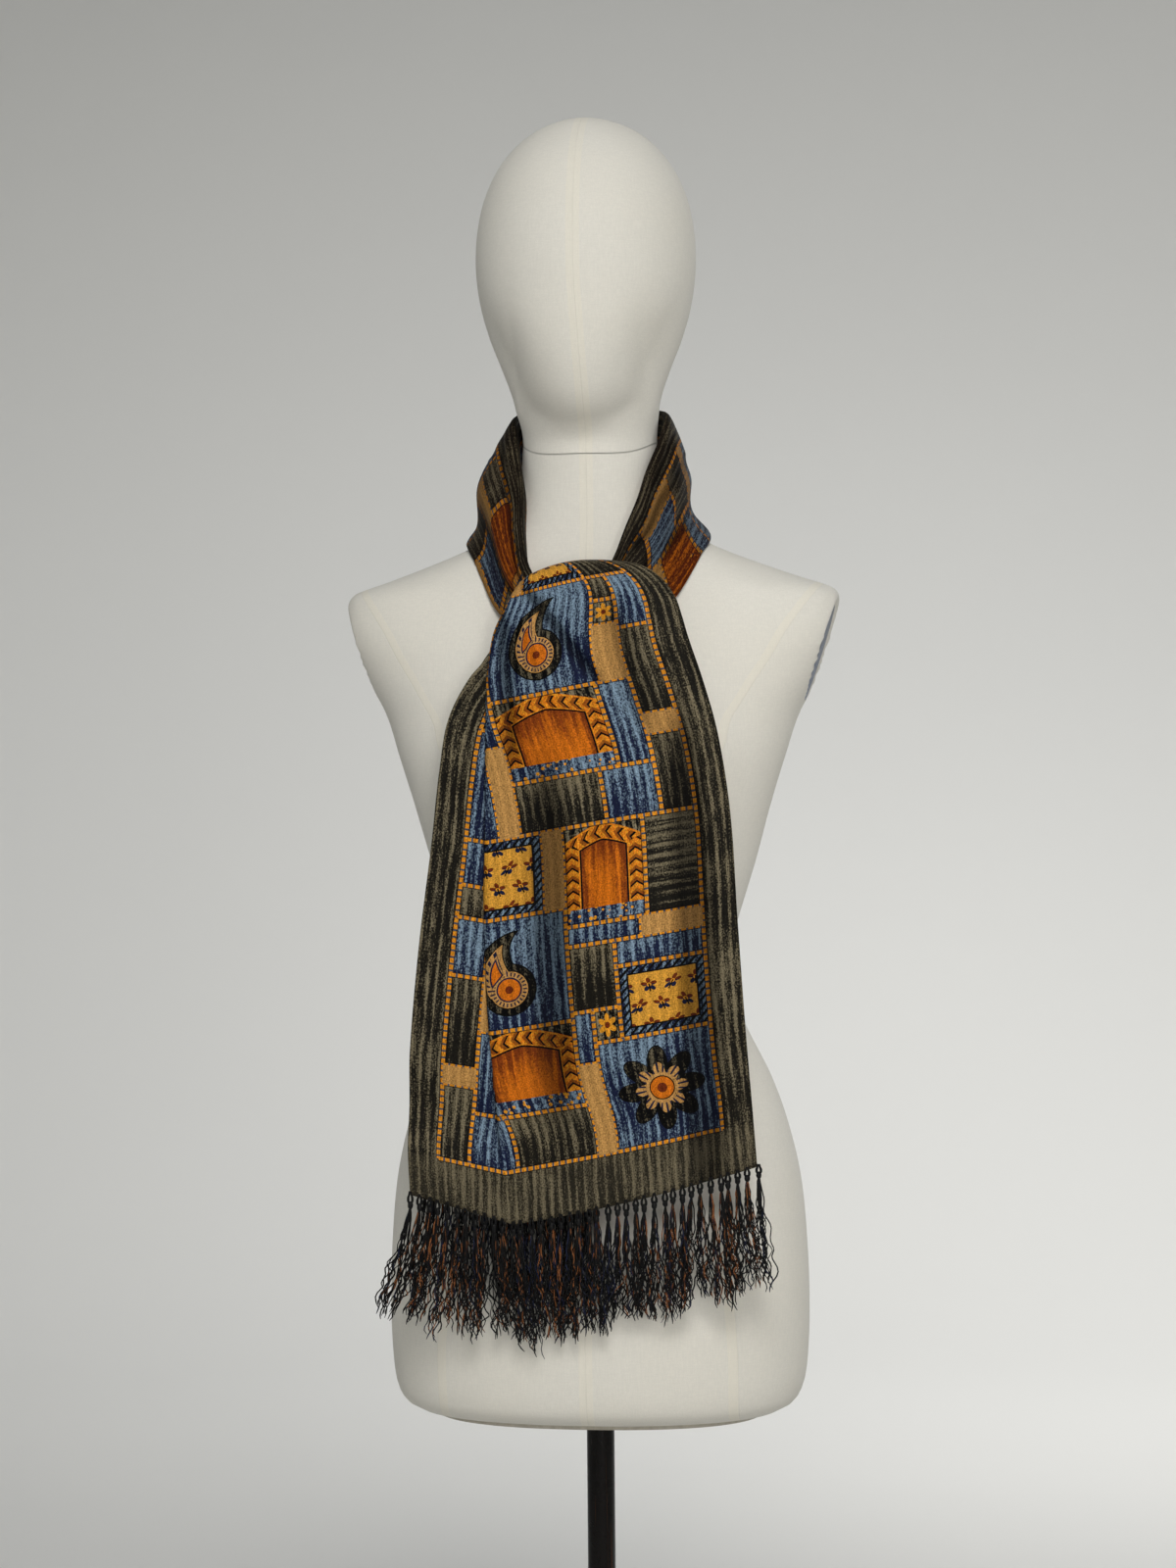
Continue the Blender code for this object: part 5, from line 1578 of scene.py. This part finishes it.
def under_line(height):
    """A row of the hidden end: across its front layer, round its fold and back behind."""
    left, right, depth, lift = (blend_rows(UNDER_FALL, name, height).x
                                for name in Under._fields[1:])
    line = [Vector((left + (right - left) * step / UNDER_STEPS, depth, height))
            for step in range(UNDER_STEPS + 1)]
    line += [Vector((right + UNDER_TURN * math.sin(math.pi * step / UNDER_FOLD_STEPS),
                     depth + UNDER_TURN * (1.0 - math.cos(math.pi * step / UNDER_FOLD_STEPS)),
                     height)) for step in range(1, UNDER_FOLD_STEPS)]
    line += [Vector((right + (left + UNDER_SHORT - right) * step / UNDER_STEPS,
                     depth + 2.0 * UNDER_TURN, height)) for step in range(UNDER_STEPS + 1)]
    for point in line:
        point.z += lift * (right - point.x) / (right - left)
    return line


class SCARF_OT_under_fall(bpy.types.Operator):
    """Build the hidden end, folded in half lengthwise behind the front fall"""
    bl_idname = "scarf.under_fall"
    bl_label = "Hidden fall"

    def execute(self, context):
        trees = form_trees()
        cloth = context.scene.scarf_cloth
        low, high = UNDER_FALL[0].height, UNDER_FALL[-1].height
        count = round((high - low) / UNIT)
        rows = []
        for row in range(count + 1):
            height = low + (high - low) * row / count
            rows.append([held_clear(p, trees)
                         for p in evenly(under_line(height), FALL_COLUMNS)])

        item = cloth_piece("scarf_behind", rows, fall_place, silk(), cloth.thickness, PRINT,
                           lambda column, row: 0.0)
        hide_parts("scarf_under_fall")
        return {"FINISHED"}


# ---- the fringes --------------------------------------------------------------------------------

TASSELS = 38
UNDER_TASSELS = 28
UNDER_STRANDS = 7            # threads in each of its tassels
SEED, UNDER_SEED = 11, 29
KNOT_RADIUS = 0.0022
KNOT_SQUASH = 0.85           # from front to back
KNOT_STRETCH = (1.2, 1.8)    # upwards
KNOT_ROUGH = 0.22
KNOT_SHIFT = (-0.0012, 0.0012)   # of a knot's place, along the hem and up
LEAN_SPREAD = (-0.0050, 0.0050)
DROP_SPREAD = (-0.006, 0.006)    # from tassel to tassel,
THREAD_DROP = (-0.010, 0.006)    # and from thread to thread in one
THREAD_WEIGHT = (0.75, 1.15)
THREAD_SHARES = (0.67, 0.16, 0.17)   # of the three dyes
THREAD_SIDE = (-0.0050, 0.0050)  # how far the threads of a tassel stand apart
THREAD_FRONT = (-0.0024, 0.0024)
THREAD_WANDER = (0.0070, 0.0026, 0.0040)
CRIMP = (0.0005, 0.0018)     # radius of a thread's curls
KNOT_AT = 0.0070             # below the hem
STRAIGHT_POINTS = 3          # of a thread's upper part
CURLED_POINTS = 24           # and of its lower part
CURL_FROM = 0.20             # share of the drop at which the threads begin to curl
CURL_TURNS = 5.5

# The loops that tie a tassel to the hem: share of the way down to its knot, share of the bow.
LOOP_OF_THREAD = [(-0.35, 0.30), (0.0, 0.55), (0.28, 1.0), (0.56, 1.0), (0.80, 0.60),
                  (1.0, 0.10)]
LOOP_BOWS = (0.0012, 0.0021)
LOOP_WEIGHT = 1.1


def front_lean(share):
    """How far the front fringe leans to the side near its two ends."""
    return 0.006 * smooth_step(0.80, 1.0, share) - 0.022 * smooth_step(0.22, 0.0, share)


def under_lean(share):
    """The hidden fringe leans out at its left end with the front one."""
    return -0.014 * smooth_step(0.30, 0.0, share)


def hem_places(hem, count):
    """Places along a hem, from its left end to its right."""
    places = evenly(hem, count - 1)
    return places if places[0].x < places[-1].x else places[::-1]


def strand_line(root, lean, drop, dice):
    """One thread: straight at its knot, then curled and wandering more and more."""
    side, front = dice.uniform(*THREAD_SIDE), dice.uniform(*THREAD_FRONT)
    phase, turns = dice.uniform(0.0, 6.28), CURL_TURNS * dice.uniform(0.7, 1.3)
    crimp = dice.uniform(*CRIMP)
    seed = dice.uniform(0.0, 90.0)
    falls = [CURL_FROM * step / STRAIGHT_POINTS for step in range(STRAIGHT_POINTS)]
    falls += [CURL_FROM + (1.0 - CURL_FROM) * step / CURLED_POINTS
              for step in range(CURLED_POINTS + 1)]
    line = []
    for fall in falls:
        curl = smooth_step(CURL_FROM - 0.12, 0.72, fall)
        apart = min(1.0, fall * 8.0)
        angle, bend = phase + turns * 2.0 * math.pi * fall, crimp * (0.25 + 0.75 * curl)
        wander = (noise.noise_vector(Vector((seed, fall * 4.2, 0.0)))
                  * Vector(THREAD_WANDER) * curl)
        line.append(root + wander + Vector((
            lean * fall ** 1.3 + side * (0.40 * apart + 0.60 * curl) + math.cos(angle) * bend,
            front * (0.45 * apart + 0.55 * curl) + math.sin(angle) * bend * 0.7,
            -drop * fall,
        )))
    return line


def build_fringe(name, hem, tassels, strands, lean, settings, seed):
    """Knots along the hem and the threads that hang from them, as one curve object."""
    dice = random.Random(seed)
    noise.seed_set(seed)
    curve = bpy.data.curves.new(name, "CURVE")
    curve.dimensions = "3D"
    curve.bevel_depth = settings.thread
    curve.bevel_resolution = 0
    for shade, word in ((settings.black, "Black"), (settings.rust, "Rust"),
                        (settings.navy, "Navy")):
        curve.materials.append(thread_material(word, shade, settings.black))
    places = hem_places(hem, tassels)
    knots = bmesh.new()
    for number, place in enumerate(places):
        aside = lean(number / (tassels - 1)) + dice.uniform(*LEAN_SPREAD)
        place = place + Vector((dice.uniform(*KNOT_SHIFT), 0.0, 0.0))
        knot = place - Vector((0.0, 0.0, KNOT_AT + dice.uniform(*KNOT_SHIFT)))
        ball = bmesh.ops.create_icosphere(knots, subdivisions=2, radius=KNOT_RADIUS)["verts"]
        squash = Vector((1.0, KNOT_SQUASH, dice.uniform(*KNOT_STRETCH)))
        for vert in ball:
            lump = noise.noise(vert.co * 900.0 + Vector((number, 0.0, 0.0)))
            rough = 1.0 + KNOT_ROUGH * lump
            vert.co = vert.co * squash * rough + knot
        for side in (-1.0, 1.0):
            for bow in LOOP_BOWS:
                add_strand(curve, [place.lerp(knot, share)
                                   + Vector((side * bow * wide, -0.0004, 0.0))
                                   for share, wide in LOOP_OF_THREAD], 0, LOOP_WEIGHT)
        drop_here = settings.drop - KNOT_AT * 0.5 + dice.uniform(*DROP_SPREAD)
        for _ in range(strands):
            drop = drop_here + dice.uniform(*THREAD_DROP)
            kind = dice.choices((0, 1, 2), THREAD_SHARES)[0]
            add_strand(curve, strand_line(knot, aside, drop, dice), kind,
                       dice.uniform(*THREAD_WEIGHT))
    item = bpy.data.objects.new(name, curve)
    bpy.context.collection.objects.link(item)
    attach(item, "root")
    tied = finished(name + "_knots", knots, curve.materials[0], 180.0)
    return item


def add_strand(curve, line, kind, thickness):
    """Add a thread that is thinner at its tip."""
    spline = curve.splines.new("POLY")
    spline.points.add(len(line) - 1)
    spline.material_index = kind
    for number, (point, place) in enumerate(zip(spline.points, line)):
        point.co = (*place, 1.0)
        point.radius = thickness * (1.0 if number < len(line) - 1 else 0.5)


def thread_material(word, shade, ground):
    """The thread of one dye, made once for both fringes."""
    name = f"{word} thread"
    return bpy.data.materials.get(name) or make_thread(name, tuple(shade), tuple(ground))


def silk():
    """The printed silk, made once for all of the cloth."""
    return (bpy.data.materials.get("Printed silk")
            or make_silk(bpy.context.scene.scarf_cloth))


class SCARF_OT_fringes(bpy.types.Operator):
    """Build the knotted fringes along both ends of the scarf"""
    bl_idname = "scarf.fringes"
    bl_label = "Fringes"

    def execute(self, context):
        settings = context.scene.scarf_fringe
        trees = form_trees()
        hem = [held_clear(p, trees) for p in fall_line(FRONT_FALL[-1].down)]
        fringe = build_fringe("fringe_of_front", hem, TASSELS, settings.strands, front_lean,
                              settings, SEED)
        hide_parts("fringe_front")
        line = under_line(UNDER_FALL[0].height)
        hem = [p + Vector((0.0, UNDER_TURN, 0.0)) for p in line[:UNDER_STEPS + 1]]
        fringe = build_fringe("fringe_behind", hem, UNDER_TASSELS, UNDER_STRANDS, under_lean,
                              settings, UNDER_SEED)
        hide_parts("fringe_under")
        return {"FINISHED"}


# ---- studio -------------------------------------------------------------------------------------

ROOM_FLOOR = 2.7             # radius of its level part
ROOM_CURVE = 2.6             # radius of the curve between floor and wall
ROOM_CURVE_STEPS = 24
ROOM_STEPS = 96              # round it
ROOM_HEIGHT = 4.5
SKY = (0.90, 0.945, 1.0)
SKY_STRENGTH = 0.275
CAMERA_ASIDE = 0.0056        # from the form's axis, to the left

# The lamps: place, what they are aimed at, size, watts, colour and spread in degrees.
Lamp = namedtuple("Lamp", "name place aim size power shade spread")

LAMPS = [
    Lamp("key_light", (0.50, -2.6, 2.75), (0.0, 0.0, 0.90), 1.2, 51.0, (1.0, 0.985, 0.955), 180),
    Lamp("fill_light", (0.9, -2.6, 0.8), (0.05, 0.0, 0.80), 0.8, 0.75, (1.0, 0.97, 0.94), 36),
    Lamp("wall_light", (0.2, 0.6, 3.0), (0.2, 4.5, 0.2), 1.5, 19.0, (1.0, 1.0, 1.0), 90),
    Lamp("floor_light", (1.3, 1.9, 1.9), (1.3, 1.9, 0.0), 1.2, 14.0, (1.0, 1.0, 1.0), 180),
]


class SCARF_OT_studio(bpy.types.Operator):
    """Set up the pale floor and wall, the lights and the camera"""
    bl_idname = "scarf.studio"
    bl_label = "Studio"

    def execute(self, context):
        studio = context.scene.scarf_studio
        context.scene.view_settings.view_transform = "Standard"
        self.backdrop(studio)
        for lamp in LAMPS:
            self.light(lamp)
        world = bpy.data.worlds.new("Soft studio")
        world.use_nodes = True
        sky = world.node_tree.nodes["Background"]
        sky.inputs["Color"].default_value = (*SKY, 1.0)
        sky.inputs["Strength"].default_value = SKY_STRENGTH
        context.scene.world = world
        self.camera(context, studio)
        return {"FINISHED"}

    def backdrop(self, studio):
        """A round floor that rises in a wide curve into a wall all round the form."""
        profile = [(0.0, 0.0), (1.0, 0.0), (1.9, 0.0)]
        for step in range(ROOM_CURVE_STEPS + 1):
            angle = math.pi / 2.0 * step / ROOM_CURVE_STEPS
            profile.append((ROOM_FLOOR + ROOM_CURVE * math.sin(angle),
                            ROOM_CURVE * (1.0 - math.cos(angle))))
        profile.append((ROOM_FLOOR + ROOM_CURVE, ROOM_HEIGHT))
        bm = turned(profile, ROOM_STEPS)
        mesh = bpy.data.meshes.new("backdrop")
        bm.to_mesh(mesh)
        bm.free()
        mesh.shade_smooth()
        g = Graph("Pale backdrop")
        cloud = g.noise(g.object_place(), 1.3, 2.0)
        base = tuple(studio.backdrop)
        height = g.split(g.object_place())[2]
        # painted shade: the wall grows darker towards its top
        shade_above = g.times(g.step(height, 1.4, 3.0), 0.10)
        paint = g.tint(g.times(cloud, 0.3), base, tuple(c * 0.94 for c in base))
        g.surface(base_color=g.scaled(paint, g.off(shade_above)), roughness=0.9)
        mesh.materials.append(g.material)
        item = bpy.data.objects.new("backdrop", mesh)
        bpy.context.collection.objects.link(item)

    def light(self, lamp):
        """A round lamp that the camera doesn't see."""
        data = bpy.data.lights.new(lamp.name, "AREA")
        data.shape = "DISK"
        data.size = lamp.size
        data.energy = lamp.power
        data.spread = math.radians(lamp.spread)
        data.color = lamp.shade
        item = bpy.data.objects.new(lamp.name, data)
        item.location = lamp.place
        item.rotation_euler = (Vector(lamp.aim) - Vector(lamp.place)).to_track_quat(
            "-Z", "Y").to_euler()
        item.visible_camera = False
        bpy.context.collection.objects.link(item)

    def camera(self, context, studio):
        """The photograph's view: level, a little to the form's left, with a slight roll."""
        data = bpy.data.cameras.new("camera")
        data.sensor_width = 36.0
        data.lens = studio.lens
        turn = studio.azimuth
        out = Vector((math.sin(turn), -math.cos(turn), 0.0))
        right = Vector((math.cos(turn), math.sin(turn), 0.0))
        item = bpy.data.objects.new("camera", data)
        item.location = out * studio.distance - right * CAMERA_ASIDE
        item.location.z = studio.height
        item.rotation_euler = (math.pi / 2.0, studio.roll, turn)
        item.rotation_mode = "XYZ"
        bpy.context.collection.objects.link(item)
        context.scene.camera = item


class SCARF_PT_panel(bpy.types.Panel):
    """The scarf's pieces, in the order in which they are built"""
    bl_idname = "SCARF_PT_panel"
    bl_label = "Fringed silk scarf"
    bl_space_type = "VIEW_3D"
    bl_region_type = "UI"
    bl_category = "Scarf"

    def draw(self, context):
        for group in ("scarf_form", "scarf_cloth", "scarf_fringe", "scarf_studio"):
            box = self.layout.box()
            settings = getattr(context.scene, group)
            for name in settings.__annotations__:
                box.prop(settings, name)
        for step in STEPS:
            self.layout.operator(step.bl_idname)


GROUPS = {
    "scarf_cloth": ScarfClothSettings,
    "scarf_fringe": ScarfFringeSettings,
    "scarf_form": ScarfFormSettings,
    "scarf_studio": ScarfStudioSettings,
}
STEPS = (SCARF_OT_studio, SCARF_OT_stand, SCARF_OT_form, SCARF_OT_neck_loop, SCARF_OT_fringes,
         SCARF_OT_front_fall, SCARF_OT_under_fall)


def register():
    for group in GROUPS.values():
        bpy.utils.register_class(group)
    for step in STEPS:
        bpy.utils.register_class(step)
    bpy.utils.register_class(SCARF_PT_panel)
    for name, group in GROUPS.items():
        setattr(bpy.types.Scene, name, bpy.props.PointerProperty(type=group))


def unregister():
    for name in GROUPS:
        delattr(bpy.types.Scene, name)
    bpy.utils.unregister_class(SCARF_PT_panel)
    for step in reversed(STEPS):
        bpy.utils.unregister_class(step)
    for group in GROUPS.values():
        bpy.utils.unregister_class(group)


def main():
    register()
    for step in STEPS:
        group, name = step.bl_idname.split(".")
        getattr(getattr(bpy.ops, group), name)()


if __name__ == "__main__":
    main()
